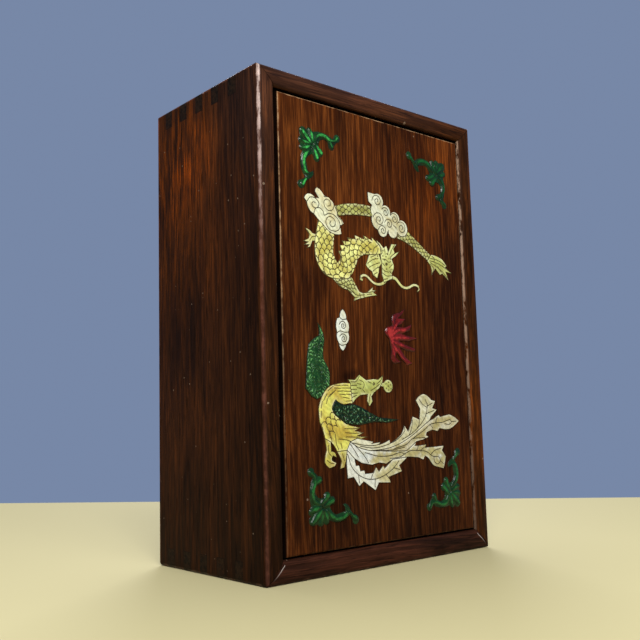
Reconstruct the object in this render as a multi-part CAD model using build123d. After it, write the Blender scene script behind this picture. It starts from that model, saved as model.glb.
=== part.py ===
from build123d import *
import os
from math import sqrt

# Keepsake box of dark rosewood with a sliding lid, inlaid with a dragon, a phoenix and four carved corners.
# It stands on its opening end: X runs across the lid, Y from the lid to the back board, Z up the long side.
# Lengths are in millimetres, and the origin is the middle of the end that the box stands on.

# Outside of the box and its boards
box_width = 180.0
box_depth = 108.0
box_height = 280.0
side_thickness = 12.0
end_thickness = 11.0
front_y = -box_depth / 2
back_y = box_depth / 2
side_inner_x = box_width / 2 - side_thickness
forwards = (0, -1, 0)

# Moulded front edge that runs round the frame
arris_radius = 3.0
crest_rise = 0.4
crest_width = 5.6
inner_fall = 3.2
inner_bow = 0.9
upper_corner_wear = 0.7
lower_corner_wear = 2.4
back_bevel = 0.8

# Sliding lid: a raised field with tongues, and a mitred rail at its lower end
field_drop = 1.2
field_y = front_y + field_drop
field_half_width = 76.0
field_bottom = 13.4
field_top = 266.8
field_arris = 1.2
tongue_drop = 5.6
tongue_thickness = 3.6
tongue_front_y = front_y + tongue_drop
lid_under_y = tongue_front_y + tongue_thickness
tongue_reach = 4.6
rail_height = 12.4
rail_depth = 12.0
rail_back_y = front_y + rail_depth
rail_tenon = 5.0
rail_tenon_inset = 2.0
sliding_gap = 0.2
mitre_gap = 0.35

# Grooves
groove_depth = 5.0
back_tongue_inner_y = 45.0
back_tongue_thickness = 3.5
back_field_y = 52.0
back_field_edge = 2.0
back_field_bevel = 1.5
back_groove_depth = 4.6
back_tongue_reach = 4.2

# Dovetails that join the ends to the sides
tail_first_y = -29.2
tail_pitch = 17.3
tail_count = 5
tail_width = 7.3
tail_root_width = 5.6
mitre_back_y = -36.0
rail_clearance = 0.4
lower_front_y = rail_back_y + rail_clearance

# Inlays: seat depth below the field, how far each kind stands above it, where the drawing's left edge lies,
# the short straight cuts that round off the small lobes, and where the corner scrolls are set
seat_depth = 0.8
shell_rise = 0.5
carved_rise = 0.8
drawing_left_x = -89.9
lobe_sides = 24
scroll_chords = 5
cloud_chords = 3
corner_inset_x = 62.3
corner_inset_z = 111.4
corner_middle_x = 1.2
corner_middle_z = 139.0


# Helpers

# How far a cutting block runs past the face that it opens
overshoot = 1.0


def block(x0, x1, y0, y1, z0, z1):
    return Pos((x0 + x1) / 2, (y0 + y1) / 2, (z0 + z1) / 2) * Box(x1 - x0, y1 - y0, z1 - z0)


def moulded_section(thickness, back):
    # Board section: first coordinate from the outer face inwards, second from the front of the box backwards
    crest_end = arris_radius + crest_width
    arris_bow = arris_radius * (1 - sqrt(0.5))
    start = (0, arris_radius + crest_rise)
    edge = SagittaArc(start, (arris_radius, crest_rise), -arris_bow)
    edge += SagittaArc((arris_radius, crest_rise), (crest_end, crest_rise), -crest_rise)
    edge += SagittaArc((crest_end, crest_rise), (thickness, inner_fall), -inner_bow)
    edge += Polyline((thickness, inner_fall), (thickness, back), (0, back), start)
    return make_face(edge)


def worn_outline():
    # Whole outside of the box with its corners rubbed, which every outer board is trimmed to
    whole = block(-box_width / 2, box_width / 2, front_y, back_y, 0.0, box_height)
    whole = chamfer(whole.edges().filter_by(Axis.Y).group_by(Axis.Z)[-1], upper_corner_wear)
    whole = fillet(whole.edges().filter_by(Axis.Y).group_by(Axis.Z)[0], lower_corner_wear)
    return chamfer(whole.faces().sort_by(Axis.Y)[-1].edges(), back_bevel)


def mitre_wedge(x_sign, top, back):
    # Prism at a corner of the frame, between the outer faces and the mitre line
    outer = x_sign * box_width / 2
    inner = x_sign * side_inner_x
    outer_z = box_height if top else 0.0
    inner_z = box_height - end_thickness if top else rail_height
    corner = Polygon((outer, outer_z), (inner, outer_z), (inner, inner_z), align=None)
    return extrude(Plane.XZ.offset(-back) * corner, amount=back - front_y + overshoot, dir=forwards)


def tails(x_sign, z0, z1):
    # Dovetails of an end board, widest at the box's outer face
    outer = x_sign * box_width / 2
    inner = x_sign * side_inner_x
    solids = []
    for index in range(tail_count):
        middle = tail_first_y + index * tail_pitch
        tail = Polygon(
            (inner, middle - tail_root_width / 2),
            (outer, middle - tail_width / 2),
            (outer, middle + tail_width / 2),
            (inner, middle + tail_root_width / 2),
            align=None,
        )
        solids.append(Pos(0, 0, z0) * extrude(tail, amount=z1 - z0, dir=(0, 0, 1)))
    return solids


def lid_groove():
    reach = side_inner_x + groove_depth
    top = box_height - end_thickness + groove_depth
    return block(-reach, reach, tongue_front_y - sliding_gap, lid_under_y + sliding_gap, -overshoot, top)


def back_groove():
    reach = side_inner_x + back_groove_depth
    bottom = end_thickness - back_groove_depth
    top = box_height - end_thickness + back_groove_depth
    tongue_back = back_tongue_inner_y + back_tongue_thickness
    return block(-reach, reach, back_tongue_inner_y, tongue_back, bottom, top)


# Carcass

def side_board(x_sign):
    board = extrude(moulded_section(side_thickness, box_depth), amount=box_height)
    if x_sign > 0:
        board = mirror(board, about=Plane.YZ)
    board = Pos(x_sign * box_width / 2, front_y, 0) * board
    board -= mitre_wedge(x_sign, True, mitre_back_y)
    board -= mitre_wedge(x_sign, False, rail_back_y)
    board -= tails(x_sign, box_height - end_thickness, box_height)
    board -= tails(x_sign, 0.0, end_thickness)
    board -= lid_groove()
    board -= back_groove()
    return board & worn_outline()


def top_end_board():
    section = moulded_section(end_thickness, box_depth)
    turned = Plane(origin=(-box_width / 2, front_y, box_height), x_dir=(0, 0, -1), z_dir=(1, 0, 0)) * section
    whole = extrude(turned, amount=box_width)
    z0 = box_height - end_thickness
    board = whole & block(-side_inner_x, side_inner_x, front_y, back_y, z0, box_height)
    for x_sign in (-1, 1):
        board += whole & mitre_wedge(x_sign, True, mitre_back_y)
        board += tails(x_sign, z0, box_height)
    board -= lid_groove()
    board -= back_groove()
    return board & worn_outline()


def lower_end_board():
    board = block(-side_inner_x, side_inner_x, lower_front_y, back_y, 0.0, end_thickness)
    for x_sign in (-1, 1):
        board += tails(x_sign, 0.0, end_thickness)
    return (board - back_groove()) & worn_outline()


def back_board():
    reach = side_inner_x + back_tongue_reach
    bottom = end_thickness - back_tongue_reach
    top = box_height - end_thickness + back_tongue_reach
    tongue_back = back_tongue_inner_y + back_tongue_thickness
    board = block(-reach, reach, back_tongue_inner_y, tongue_back, bottom, top)
    half = side_inner_x - back_field_edge
    z0 = end_thickness + back_field_edge
    z1 = box_height - end_thickness - back_field_edge
    field = block(-half, half, tongue_back, back_field_y, z0, z1)
    field = chamfer(field.faces().sort_by(Axis.Y)[-1].edges(), back_field_bevel)
    return board + field


# Lid

def lid_panel(inlays):
    reach = side_inner_x + tongue_reach
    top = box_height - end_thickness + tongue_reach
    panel = block(-reach, reach, tongue_front_y, lid_under_y, rail_height, top)
    tenon_half = side_inner_x - rail_tenon_inset
    tenon_z = rail_height - rail_tenon
    panel += block(-tenon_half, tenon_half, tongue_front_y, lid_under_y, tenon_z, rail_height)
    field = block(-field_half_width, field_half_width, field_y, tongue_front_y, field_bottom, field_top)
    field = fillet(field.faces().sort_by(Axis.Y)[0].edges(), field_arris)
    panel += field
    for inlay in inlays:
        panel -= inlay
    return panel


def lid_end_rail():
    section = moulded_section(rail_height, rail_back_y - front_y)
    turned = Plane(origin=(box_width / 2, front_y, 0), x_dir=(0, 0, 1), z_dir=(-1, 0, 0)) * section
    rail = extrude(turned, amount=box_width)
    outer = box_width / 2 - mitre_gap
    inner = side_inner_x - mitre_gap
    trapezium = Polygon(
        (-outer, 0.0), (outer, 0.0), (inner, rail_height), (-inner, rail_height), align=None
    )
    rail &= extrude(Plane.XZ.offset(-back_y) * trapezium, amount=box_depth + overshoot, dir=forwards)
    tenon_half = side_inner_x - rail_tenon_inset
    z0 = rail_height - rail_tenon
    rail -= block(-tenon_half, tenon_half, tongue_front_y, lid_under_y, z0, rail_height)
    return rail & worn_outline()


# Drawing of the inlays, in millimetres from the left and lower edges of the lid's frame

def disc(x, z, radius):
    return Pos(x, z) * RegularPolygon(radius, lobe_sides)


def discs(*places):
    return Sketch() + [disc(x, z, radius) for x, z, radius in places]


def leaf(*corners, chords=0):
    # Closed outline drawn clockwise; a corner's third value bows the side that follows outwards,
    # as one arc, or as that many short cuts along the arc
    edges = []
    for index, corner in enumerate(corners):
        start = corner[:2]
        end = corners[(index + 1) % len(corners)][:2]
        bow = corner[2] if len(corner) > 2 else 0
        side = SagittaArc(start, end, bow) if bow else Line(start, end)
        if bow and chords:
            side = Polyline(*[side @ (step / chords) for step in range(chords + 1)])
        edges.append(side)
    return make_face(edges)


def band(points, widths):
    # Band along a smooth line, with widths at even steps along it
    spine = Spline(*points)
    left = []
    right = []
    last = len(widths) - 1
    for index, width in enumerate(widths):
        place = spine @ (index / last)
        along = spine % (index / last)
        across = Vector(-along.Y, along.X) * (width / 2)
        left.append(place + across)
        right.append(place - across)
    return make_face(Polyline(*left, *reversed(right), close=True))


def left_cloud():
    return leaf(
        (39.4, 213, 0.4), (40.8, 216, 0.6), (46.2, 212, 1.8), (54.6, 205.8, 0.4), (56, 201.4, 0.9),
        (60.8, 197.2, 0.3), (57.8, 195.8), (58.9, 190.8, 0.6), (51.4, 190.4, 0.5), (44.4, 195, 0.3),
        (38.6, 199.6, 1.5), (33, 206.4), (31.2, 208.2, 1.2), (36, 211.4, 0.3), (39.6, 209.6), (42, 209.8),
        chords=cloud_chords,
    )


def right_cloud():
    lobes = discs(
        (89.2, 215, 4.8), (88.4, 208.8, 5.2), (89.4, 203, 5.8), (92.8, 197.4, 4.1), (95.6, 209.2, 4.3),
        (99.6, 202.4, 6.0), (103.4, 206, 4.4), (101.6, 197.6, 4.0), (109.4, 200.8, 5.2),
    )
    return lobes + Polygon((81, 219.6), (81.4, 213.8), (84.6, 211.6), (89, 214), (87, 219.2), align=None)


def small_cloud():
    return leaf(
        (55.4, 142.2, 0.8), (57.8, 147, 1.0), (60.6, 141.4, 1.3), (61.8, 133.8, 1.4), (60, 126.8, 0.4),
        (57.2, 122.8, 0.8), (54.2, 127.2, 0.9), (53, 133.4, 0.9), (53.4, 141.4),
        chords=cloud_chords,
    )


def dragon_arch():
    return band([(54, 203.8), (66, 206.8), (76, 207.8), (88, 207.6)], [6.2, 6.8, 7, 6.8, 6.2])


def dragon_tail():
    return band([(106, 198.4), (117, 194.4), (126, 189.2), (135.4, 184)], [9, 7.4, 6, 5.2, 4.8])


def dragon_tail_tuft():
    return leaf(
        (131.8, 182.6), (135.6, 187.2, 0.6), (146.4, 185), (150.4, 181.2), (149, 180.2), (155.3, 176.6),
        (149.2, 177.2), (151.8, 171.6), (145.6, 175.8), (143.4, 174.6), (139.2, 178.4),
        (135.2, 173.6, -0.8), (134.4, 180.2),
    )


def dragon_body():
    # The coil and the neck, with the spines along its back
    return leaf(
        (38.4, 177, 0.5), (38.9, 187), (41.6, 197.8), (53.4, 192), (52, 180, -0.3), (54.8, 173.8, -0.6),
        (57.8, 177.6), (56, 180.8), (58.8, 181.2), (57.2, 184.2), (60.8, 184.6), (59.2, 187.2),
        (64.4, 187.2), (63.4, 189.6), (69.8, 189.2), (69.2, 191.6), (77, 190), (76.4, 192.4),
        (83.4, 190), (83, 192.2), (87.8, 188.8), (90, 187), (90.5, 182.6), (80, 181, -1.2),
        (70.8, 176.6, 0.8), (63.6, 165.2, 0.5),
        (50, 164.4, 1.2), (41, 170.2, 0.5),
    )


def dragon_hind_claw():
    return leaf(
        (40.5, 184.8, 0.2), (36.6, 184.2), (34.8, 180.6), (32.4, 179.6), (34, 181.8), (30.2, 181.2),
        (33.4, 183.2), (29.6, 183.4), (33.6, 185.2, -0.4), (34.2, 188), (31.4, 191.2, 0.5),
        (36.6, 188.8, -0.2), (40.5, 188.6),
    )


def dragon_foreleg():
    return leaf(
        (50.5, 164.4), (52.5, 168), (66, 166), (71.4, 158.4, -0.9), (78.6, 158.8), (83, 162),
        (82.4, 160), (85.8, 160.2), (83.2, 158.4), (86.4, 157), (81, 156.2), (70.6, 153.6), (67, 152.2),
        (67.8, 154.4), (62.6, 158.4, 0.4), (55.6, 160.4),
    )


def dragon_jaw():
    return leaf(
        (77.6, 174.6), (80.6, 181.2), (88.5, 182.6), (91, 177), (88.8, 174.6), (88.2, 171),
        (86.6, 167.2), (83.4, 169), (82.4, 171.2, 0.5),
    )


def dragon_head():
    return leaf(
        (90, 182.5), (88.4, 187.6), (86.6, 191), (90, 189.2), (93, 186.6), (95.4, 188.4), (96.8, 184.6),
        (99.8, 189.8), (104.4, 190.2), (101.4, 186.8), (102.4, 184.4), (107, 186.2), (102.8, 182.4),
        (99.6, 180.4), (101.4, 176.4, 0.5), (99, 171.6), (99.8, 168.4), (92.4, 165.4), (90.8, 170),
        (90.8, 176),
    )


def dragon_left_whisker():
    path = [(94, 167), (88.4, 163.9), (83, 164.6), (78.6, 167.6), (75, 168.2), (72.8, 166.4), (74.8, 165.2)]
    return band(path, [2.4, 2.2, 2.0, 1.9, 1.8, 1.7, 1.6, 1.6, 1.6, 1.6, 1.6, 1.7, 1.8, 1.8, 1.6])


def dragon_right_whisker():
    path = [
        (98, 168.6), (102.6, 168.4), (107, 164.6), (113.6, 164), (119.4, 166.2), (123.2, 164.6), (121.4, 162),
    ]
    return band(path, [2.6, 2.4, 2.2, 2.1, 2.0, 1.9, 1.8, 1.8, 1.8, 1.7, 1.7, 1.6, 1.5, 1.2, 0.6])


def red_flame():
    return leaf(
        (92.2, 133.6, 2.0), (95.6, 139), (97.8, 139.8, 0.8), (98.2, 146, 0.4), (104.5, 147.8),
        (109.8, 150.8), (107.4, 147.2), (103.4, 144.4), (110, 144.4), (106.6, 141.2), (102.2, 139.2),
        (108.6, 139), (115.2, 141.2), (113, 137.2), (106.4, 134.8), (113, 133.8), (120.2, 132.8),
        (112.6, 130.6), (103.8, 130.4), (110, 128.2), (117.4, 126.4), (117.2, 124.2), (109, 124.8),
        (104, 126.4), (108.4, 121), (114.8, 117), (109.8, 115.8), (104.4, 119.6), (100.8, 123.4),
        (99.8, 120.6), (104.9, 117.6), (99.6, 116.6, 0.8), (96, 119.8), (96.4, 124.6), (94.6, 131.4),
    )


def phoenix_left_wing():
    return leaf(
        (28.8, 101.5), (29.6, 110), (30.4, 119), (31.8, 125.8, 0.6), (39.4, 131, -0.5),
        (38.5, 138.4, 1.4), (43.4, 127.5, -0.6), (42.6, 117.5, 0.5), (46.8, 110), (46.4, 102.5),
        (40.5, 97), (36.8, 95.4), (33, 97.2),
    )


def phoenix_right_wing():
    return leaf(
        (47.6, 90.2, 0.5), (50.6, 95.2, -0.6), (58, 92.3), (64, 92.8, 0.5), (76, 88.3), (84, 85),
        (101, 83.3), (92, 81.6), (80, 82.2), (68, 80.6), (58, 81.6), (51, 86, 0.4),
    )


def phoenix_body():
    return leaf(
        (41.8, 74, -0.4), (38.3, 83), (37.7, 90, 0.5), (41.5, 98.5, 1.0), (49.5, 103.8, 0.5),
        (62, 104.6), (63.2, 93, -0.5), (56, 91.8), (60, 80.9), (69.2, 79.3), (64.6, 77.6), (71.8, 76.4),
        (66.4, 74.8), (74.6, 73.9), (60.5, 71.5), (58, 67), (50.5, 66.5, -0.4), (46, 72),
    )


def phoenix_head():
    return leaf(
        (63.2, 93), (62, 104.6), (60.4, 106.8), (65.6, 106.6), (69.2, 109.6), (74.5, 106.6),
        (80.4, 107.3), (84.4, 107), (88.8, 109.6), (87.6, 105.2), (85, 101.8), (80.6, 99.2), (78.4, 97),
        (79.2, 94.2), (76.6, 91.2), (74.8, 94.4), (75.4, 98.2), (70, 97.8, -0.5),
    )


def phoenix_comb():
    return disc(92.4, 103.1, 3.9) + Polygon((91, 102), (91, 105), (87.2, 105.2), (85.6, 103.2), align=None)


def phoenix_legs():
    left_leg = leaf(
        (41.2, 61, 0.4), (42.8, 67.5), (41.8, 74), (46, 72), (46.2, 67, 0.2), (49.2, 65.8),
        (50.2, 63.2), (47.4, 64.4, -0.3), (46.4, 62.2, -0.3), (49.8, 60.6), (48.6, 58.6),
        (44.8, 57.6, 0.4),
    )
    right_leg = leaf(
        (50.5, 66.5, 0.2), (58, 67), (57, 61.6), (55.6, 57.6), (52.4, 56.8), (53.6, 61, -0.2),
    )
    return left_leg + right_leg


def upper_tail_feather():
    return leaf(
        (60.5, 71.5), (66, 73.4), (79, 71), (77.5, 70), (85, 70.7), (83, 69.2, -0.4), (92, 71.8),
        (92.5, 69.6, -0.3), (101.6, 74.2, -0.4), (105, 79.8), (108, 76.2, -0.4), (112.5, 85),
        (118.4, 83), (119.4, 89.4), (115.8, 94.6, 0.8), (123, 98.6, 0.6), (129.6, 95), (133.6, 94.2),
        (130.6, 89.8), (134.8, 88.8), (129, 84.4), (127.4, 82.2), (120, 78.2, 0.2), (108, 72, 0.5),
        (92, 67, 0.3), (76, 66, 0.2), (66, 68.5),
    )


def middle_tail_feather():
    return leaf(
        (76, 66, -0.3), (92, 67, -0.5), (108, 72, -0.2), (120, 78.2), (127.4, 82.2), (131, 83.2),
        (136, 85.6), (137.4, 84.4), (146, 85.8, 0.5), (155.3, 81.4, 0.4), (146, 76.4, 0.4),
        (136.5, 77.2), (134.6, 75.4), (129.5, 76.4), (124.6, 75), (123.8, 73.4), (126.4, 72.2),
        (121.4, 70.8), (115, 69.8), (106, 64.6), (92, 65),
    )


def lower_tail_feather():
    return leaf(
        (60.5, 71.5), (66, 68.5, -0.2), (76, 66), (92, 65), (106, 64.6), (115, 69.8), (113.6, 67.4),
        (118, 67.4), (124, 67.9), (122.4, 66), (133, 66.2), (139.8, 66.5), (138, 63.6),
        (141.2, 59.8, 0.3), (138.6, 52.4), (130.5, 54.2, 0.4), (126, 58.4, -0.4), (122, 60.8),
        (120.6, 58.6), (116, 60.2), (107, 61), (94, 60.2), (88.5, 57.8), (83, 58.8), (77, 57.8),
        (69, 59.2), (63.5, 62), (58, 67),
    )


def curled_tail_feather():
    return leaf(
        (57.8, 51.2), (57.2, 60), (58, 67), (63.5, 62), (64.4, 58.2), (66.8, 58.2), (67.8, 55), (70.8, 55.2),
        (71.4, 53.2), (78, 53.4), (80.2, 56.6), (82.4, 53.8), (86, 57.2), (87.2, 55.4), (94, 60.2),
        (107, 61), (99.5, 56.4), (101.6, 52.8),
        (90.6, 50.2), (91.8, 46.8), (82, 47.4), (79.2, 43.2), (70, 48.8), (66.5, 46.4), (62.4, 51.8),
    )


def corner_scroll():
    # Leaf scroll with its corner at the origin, one arm to the right and one down
    return leaf(
        (0.2, -37, 2.5), (1, -31.8), (3.8, -29.8, 1.6), (1, -18), (2.2, -15, 1.5), (0.8, -11, 1.4),
        (0.8, -6.4), (0.4, -4.6, 2.2), (4.6, -0.8), (5.4, -1.8, 1.6), (9.8, -1.6), (10.6, -2, 1.6),
        (25.6, -3.4), (27, -0.8, 3.6), (28.8, -5), (26.4, -7.6, 2.6), (22, -8.6), (21.4, -6.4, -2.2),
        (14.4, -8.6), (14.8, -10.8, 3), (15, -16.4, 3.2), (10.4, -16.6), (9.4, -15.6, -0.8), (5, -20),
        (6.2, -26.4, -0.4), (10, -25), (10.4, -27, 0.6), (6.6, -30.6), (4, -33, 1.2),
        chords=scroll_chords,
    )


# Inlaid plates

def plate(outline, rise):
    seat_y = field_y + seat_depth
    return extrude(Plane.XZ.offset(-seat_y) * outline, amount=seat_depth + rise, dir=forwards)


def drawn_plate(outline, rise):
    return plate(Pos(drawing_left_x, 0) * outline, rise)


def corner_plates():
    # The same scroll, turned a quarter turn from each corner to the next
    corners = {
        "top_left": (-1, 1, 0),
        "top_right": (1, 1, -90),
        "lower_right": (1, -1, 180),
        "lower_left": (-1, -1, 90),
    }
    made = {}
    for name, (x_sign, z_sign, turn) in corners.items():
        corner = Pos(corner_middle_x + x_sign * corner_inset_x, corner_middle_z + z_sign * corner_inset_z)
        place = corner * Rot(0, 0, turn)
        made[f"{name}_corner_scroll"] = plate(place * corner_scroll(), carved_rise)
    return made


def inlaid_plates():
    clouds = left_cloud() + right_cloud()
    body = dragon_body() - clouds
    head = dragon_head() - dragon_body()
    jaw = dragon_jaw() - dragon_body() - head
    shell = {
        "left_cloud": left_cloud(),
        "right_cloud": right_cloud(),
        "small_cloud": small_cloud(),
        "dragon_arch": dragon_arch() - clouds,
        "dragon_tail": dragon_tail() - clouds - dragon_tail_tuft(),
        "dragon_tail_tuft": dragon_tail_tuft(),
        "dragon_body": body,
        "dragon_hind_claw": dragon_hind_claw() - body,
        "dragon_foreleg": dragon_foreleg() - body,
        "dragon_head": head,
        "dragon_jaw": jaw,
        "dragon_left_whisker": dragon_left_whisker() - head - jaw,
        "dragon_right_whisker": dragon_right_whisker() - head,
        "phoenix_body": phoenix_body() - phoenix_right_wing() - upper_tail_feather(),
        "phoenix_head": phoenix_head(),
        "phoenix_comb": phoenix_comb() - phoenix_head(),
        "phoenix_legs": phoenix_legs() - phoenix_body(),
        "upper_tail_feather": upper_tail_feather(),
        "middle_tail_feather": middle_tail_feather(),
        "lower_tail_feather": lower_tail_feather(),
        "curled_tail_feather": curled_tail_feather(),
    }
    carved = {
        "phoenix_left_wing": phoenix_left_wing() - phoenix_body(),
        "phoenix_right_wing": phoenix_right_wing(),
        "red_flame": red_flame(),
    }
    made = {name: drawn_plate(outline, shell_rise) for name, outline in shell.items()}
    made.update({name: drawn_plate(outline, carved_rise) for name, outline in carved.items()})
    made.update(corner_plates())
    return made


# Write every piece

def main():
    inlays = inlaid_plates()
    pieces = {
        "left_side_board": side_board(-1),
        "right_side_board": side_board(1),
        "top_end_board": top_end_board(),
        "lower_end_board": lower_end_board(),
        "back_board": back_board(),
        "lid_panel": lid_panel(inlays.values()),
        "lid_end_rail": lid_end_rail(),
    }
    pieces.update(inlays)
    os.makedirs("parts", exist_ok=True)
    for name, solid in pieces.items():
        export_step(solid, f"parts/{name}.step")


main()
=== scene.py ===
import math
import bpy
import numpy as np
from mathutils import Matrix, Vector, geometry


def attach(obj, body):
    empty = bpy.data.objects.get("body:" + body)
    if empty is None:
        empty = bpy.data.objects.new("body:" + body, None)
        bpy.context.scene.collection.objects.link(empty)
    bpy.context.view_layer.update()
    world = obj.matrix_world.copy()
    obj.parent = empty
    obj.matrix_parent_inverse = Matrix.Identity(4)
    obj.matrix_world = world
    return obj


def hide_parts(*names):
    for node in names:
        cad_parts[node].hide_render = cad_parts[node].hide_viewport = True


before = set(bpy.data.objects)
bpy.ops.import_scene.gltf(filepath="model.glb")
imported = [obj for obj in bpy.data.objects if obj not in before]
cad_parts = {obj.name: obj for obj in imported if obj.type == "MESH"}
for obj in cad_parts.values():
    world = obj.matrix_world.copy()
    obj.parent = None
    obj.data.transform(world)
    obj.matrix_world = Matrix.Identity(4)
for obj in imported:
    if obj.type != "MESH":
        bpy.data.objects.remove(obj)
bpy.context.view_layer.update()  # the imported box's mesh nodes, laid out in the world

# Keepsake box of dark rosewood, inlaid with shell and stone, standing on its opening end.
# Metres in the imported frame; the inlays are drawn in millimetres on the lid.
mm = 0.001


# Helpers for shader trees; most find their tree from the sockets they are given

def fill(made, inputs):
    # A socket is linked to the node's input and a plain value is set on it; colours are red, green, blue
    for key, value in inputs.items():
        entry = made.inputs[key]
        if isinstance(value, bpy.types.NodeSocket):
            made.id_data.links.new(value, entry)
        else:
            entry.default_value = (*value, 1) if entry.type == "RGBA" else value
    return made


def put(tree, kind, inputs, **settings):
    # One node: its settings first, then its inputs
    made = tree.nodes.new(kind)
    for key, value in settings.items():
        setattr(made, key, value)
    return fill(made, inputs)


def treeOf(*values):
    # The tree that holds the first socket among the values
    return next(value.id_data for value in values if isinstance(value, bpy.types.NodeSocket))


def maths(operation, *values):
    # One sum, product or other operation on sockets and numbers
    return put(treeOf(*values), "ShaderNodeMath", dict(enumerate(values)), operation=operation).outputs[0]


def vectors(operation, *values):
    # The same for vectors; gives the node's outputs
    return put(treeOf(*values), "ShaderNodeVectorMath", dict(enumerate(values)), operation=operation).outputs


def plus(first, second):  # sum of two
    return maths("ADD", first, second)


def minus(first, second):  # the second taken from the first
    return maths("SUBTRACT", first, second)


def times(first, *others):
    # Product of all that is given
    for other in others:
        first = maths("MULTIPLY", first, other)
    return first


def axesOf(vector):
    # The vector's x, y and z
    return put(vector.id_data, "ShaderNodeSeparateXYZ", {0: vector}).outputs


def blend(amount, first, second, way="MIX"):
    # First colour taken towards the second by the amount
    inputs = {0: amount, 6: first, 7: second}
    tree = treeOf(amount, first, second)
    return put(tree, "ShaderNodeMix", inputs, data_type="RGBA", blend_type=way).outputs[2]


def tinted(colour, tint):
    # Colour times tint, channel by channel
    return blend(1.0, colour, tint, "MULTIPLY")


def shaded(colour, shade):
    # Colour made lighter or darker by one factor
    grey = put(shade.id_data, "ShaderNodeCombineColor", {0: shade, 1: shade, 2: shade})
    return tinted(colour, grey.outputs[0])


def smooth(value, low, high, lowOut=0.0, highOut=1.0):
    # Value taken smoothly from the range low..high to the range lowOut..highOut
    inputs = {"Value": value, "From Min": low, "From Max": high, "To Min": lowOut, "To Max": highOut}
    made = put(value.id_data, "ShaderNodeMapRange", inputs, interpolation_type="SMOOTHSTEP")
    return made.outputs["Result"]


def fading(value, low, high, most=1.0):
    # Most of the effect at low, falling smoothly to none at high
    return smooth(value, low, high, most, 0.0)


def stretched(vector, scale, shift=(0, 0, 0), turn=(0, 0, 0)):
    # Vector scaled, turned and then shifted
    inputs = {"Vector": vector, "Location": shift, "Rotation": turn, "Scale": scale}
    return put(vector.id_data, "ShaderNodeMapping", inputs).outputs["Vector"]


def noise(vector, scale, detail=3.0, roughness=0.55):
    # Soft random value about a half; a scale of three numbers stretches it
    if isinstance(scale, tuple):
        vector, scale = stretched(vector, scale), 1.0
    inputs = {"Vector": vector, "Scale": scale, "Detail": detail, "Roughness": roughness}
    return put(vector.id_data, "ShaderNodeTexNoise", inputs).outputs["Fac"]


def newGroup(name, vectorKeys, colourKeys, numberKeys, resultKeys):
    # Node group with the sockets that the four strings name; gives its inputs by name and its output node
    group = bpy.data.node_groups.new(name, "ShaderNodeTree")
    for keys, kind in ((vectorKeys, "Vector"), (colourKeys, "Color"), (numberKeys, "Float")):
        for key in keys.split():
            group.interface.new_socket(name=key, in_out="INPUT", socket_type="NodeSocket" + kind)
    for key in resultKeys.split():
        kind = "Color" if key == "Color" else "Float"
        group.interface.new_socket(name=key, in_out="OUTPUT", socket_type="NodeSocket" + kind)
    return group.nodes.new("NodeGroupInput").outputs, group.nodes.new("NodeGroupOutput")


def give(leave, **results):
    # Links a group's results to its output node and gives the group
    return fill(leave, results).id_data


def useGroup(group, vector, inputs):
    # Places a group in the vector's tree and gives its results by name
    made = put(vector.id_data, "ShaderNodeGroup", {}, node_tree=group)
    return fill(made, {"Vector": vector, **inputs}).outputs


def startMaterial(name):
    # New material, its shader and the object's own coordinates in metres
    material = bpy.data.materials.new(name)
    material.use_nodes = True
    place = put(material.node_tree, "ShaderNodeTexCoord", {}).outputs["Object"]
    return material, material.node_tree.nodes["Principled BSDF"], place


def finishMaterial(shader, made, colour, gloss):
    # Colour, and the made group's roughness and height, on the shader with its own plain gloss values
    height = {"Height": made["Height"], "Strength": gloss["bump"], "Distance": gloss["bumpDepth"]}
    bump = put(shader.id_data, "ShaderNodeBump", height)
    fill(shader, {
        "Base Color": colour, "Roughness": made["Roughness"], "Normal": bump.outputs["Normal"],
        "Coat Weight": gloss["coat"], "Coat Roughness": gloss["coatRoughness"],
        "Specular IOR Level": gloss["reflection"],
    })


# Camera, lamps, world and floor

cameraSet = {"place": (-0.353, -0.405, 0.0834), "azimuth": -40.8, "elevation": -6.9, "roll": -1.58,
             "focalPixels": 838.8, "imagePixels": 640, "sensor": 36.0, "clip": (0.01, 50)}


def addCamera(view):
    # Looks at the box's near edge from a little above the floor, turned by azimuth, elevation and roll
    azimuth, elevation, roll = (math.radians(view[key]) for key in ("azimuth", "elevation", "roll"))
    level = math.cos(elevation)
    back = Vector((math.sin(azimuth) * level, -math.cos(azimuth) * level, math.sin(elevation)))
    right = Vector((0, 0, 1)).cross(back).normalized()
    up = back.cross(right)
    rightRolled = right * math.cos(roll) + up * math.sin(roll)
    upRolled = up * math.cos(roll) - right * math.sin(roll)
    data = bpy.data.cameras.new("photoCamera")
    data.sensor_width = view["sensor"]
    data.lens = view["focalPixels"] / view["imagePixels"] * view["sensor"]
    data.clip_start, data.clip_end = view["clip"]
    camera = bpy.data.objects.new("photoCamera", data)
    turned = Matrix((rightRolled, upRolled, back)).transposed().to_4x4()
    camera.matrix_world = Matrix.Translation(view["place"]) @ turned
    bpy.context.scene.collection.objects.link(camera)
    bpy.context.scene.camera = camera


lampSet = {
    "keySoftbox": {"place": (-0.62, -0.80, 0.92), "aim": (0, 0, 0.18), "size": 0.5, "power": 17},
    "frontSoftbox": {"place": (-0.30, -1.60, 0.80), "aim": (0, 0, 0.14), "size": 0.8, "power": 12},
    "topSoftbox": {"place": (0.2, 0.5, 1.7), "aim": (0, 0, 0.2), "size": 1.0, "power": 12},
    "backSoftbox": {"place": (1.1, 1.3, 0.9), "aim": (0, 0, 0.14), "size": 0.8, "power": 18},
}


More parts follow.
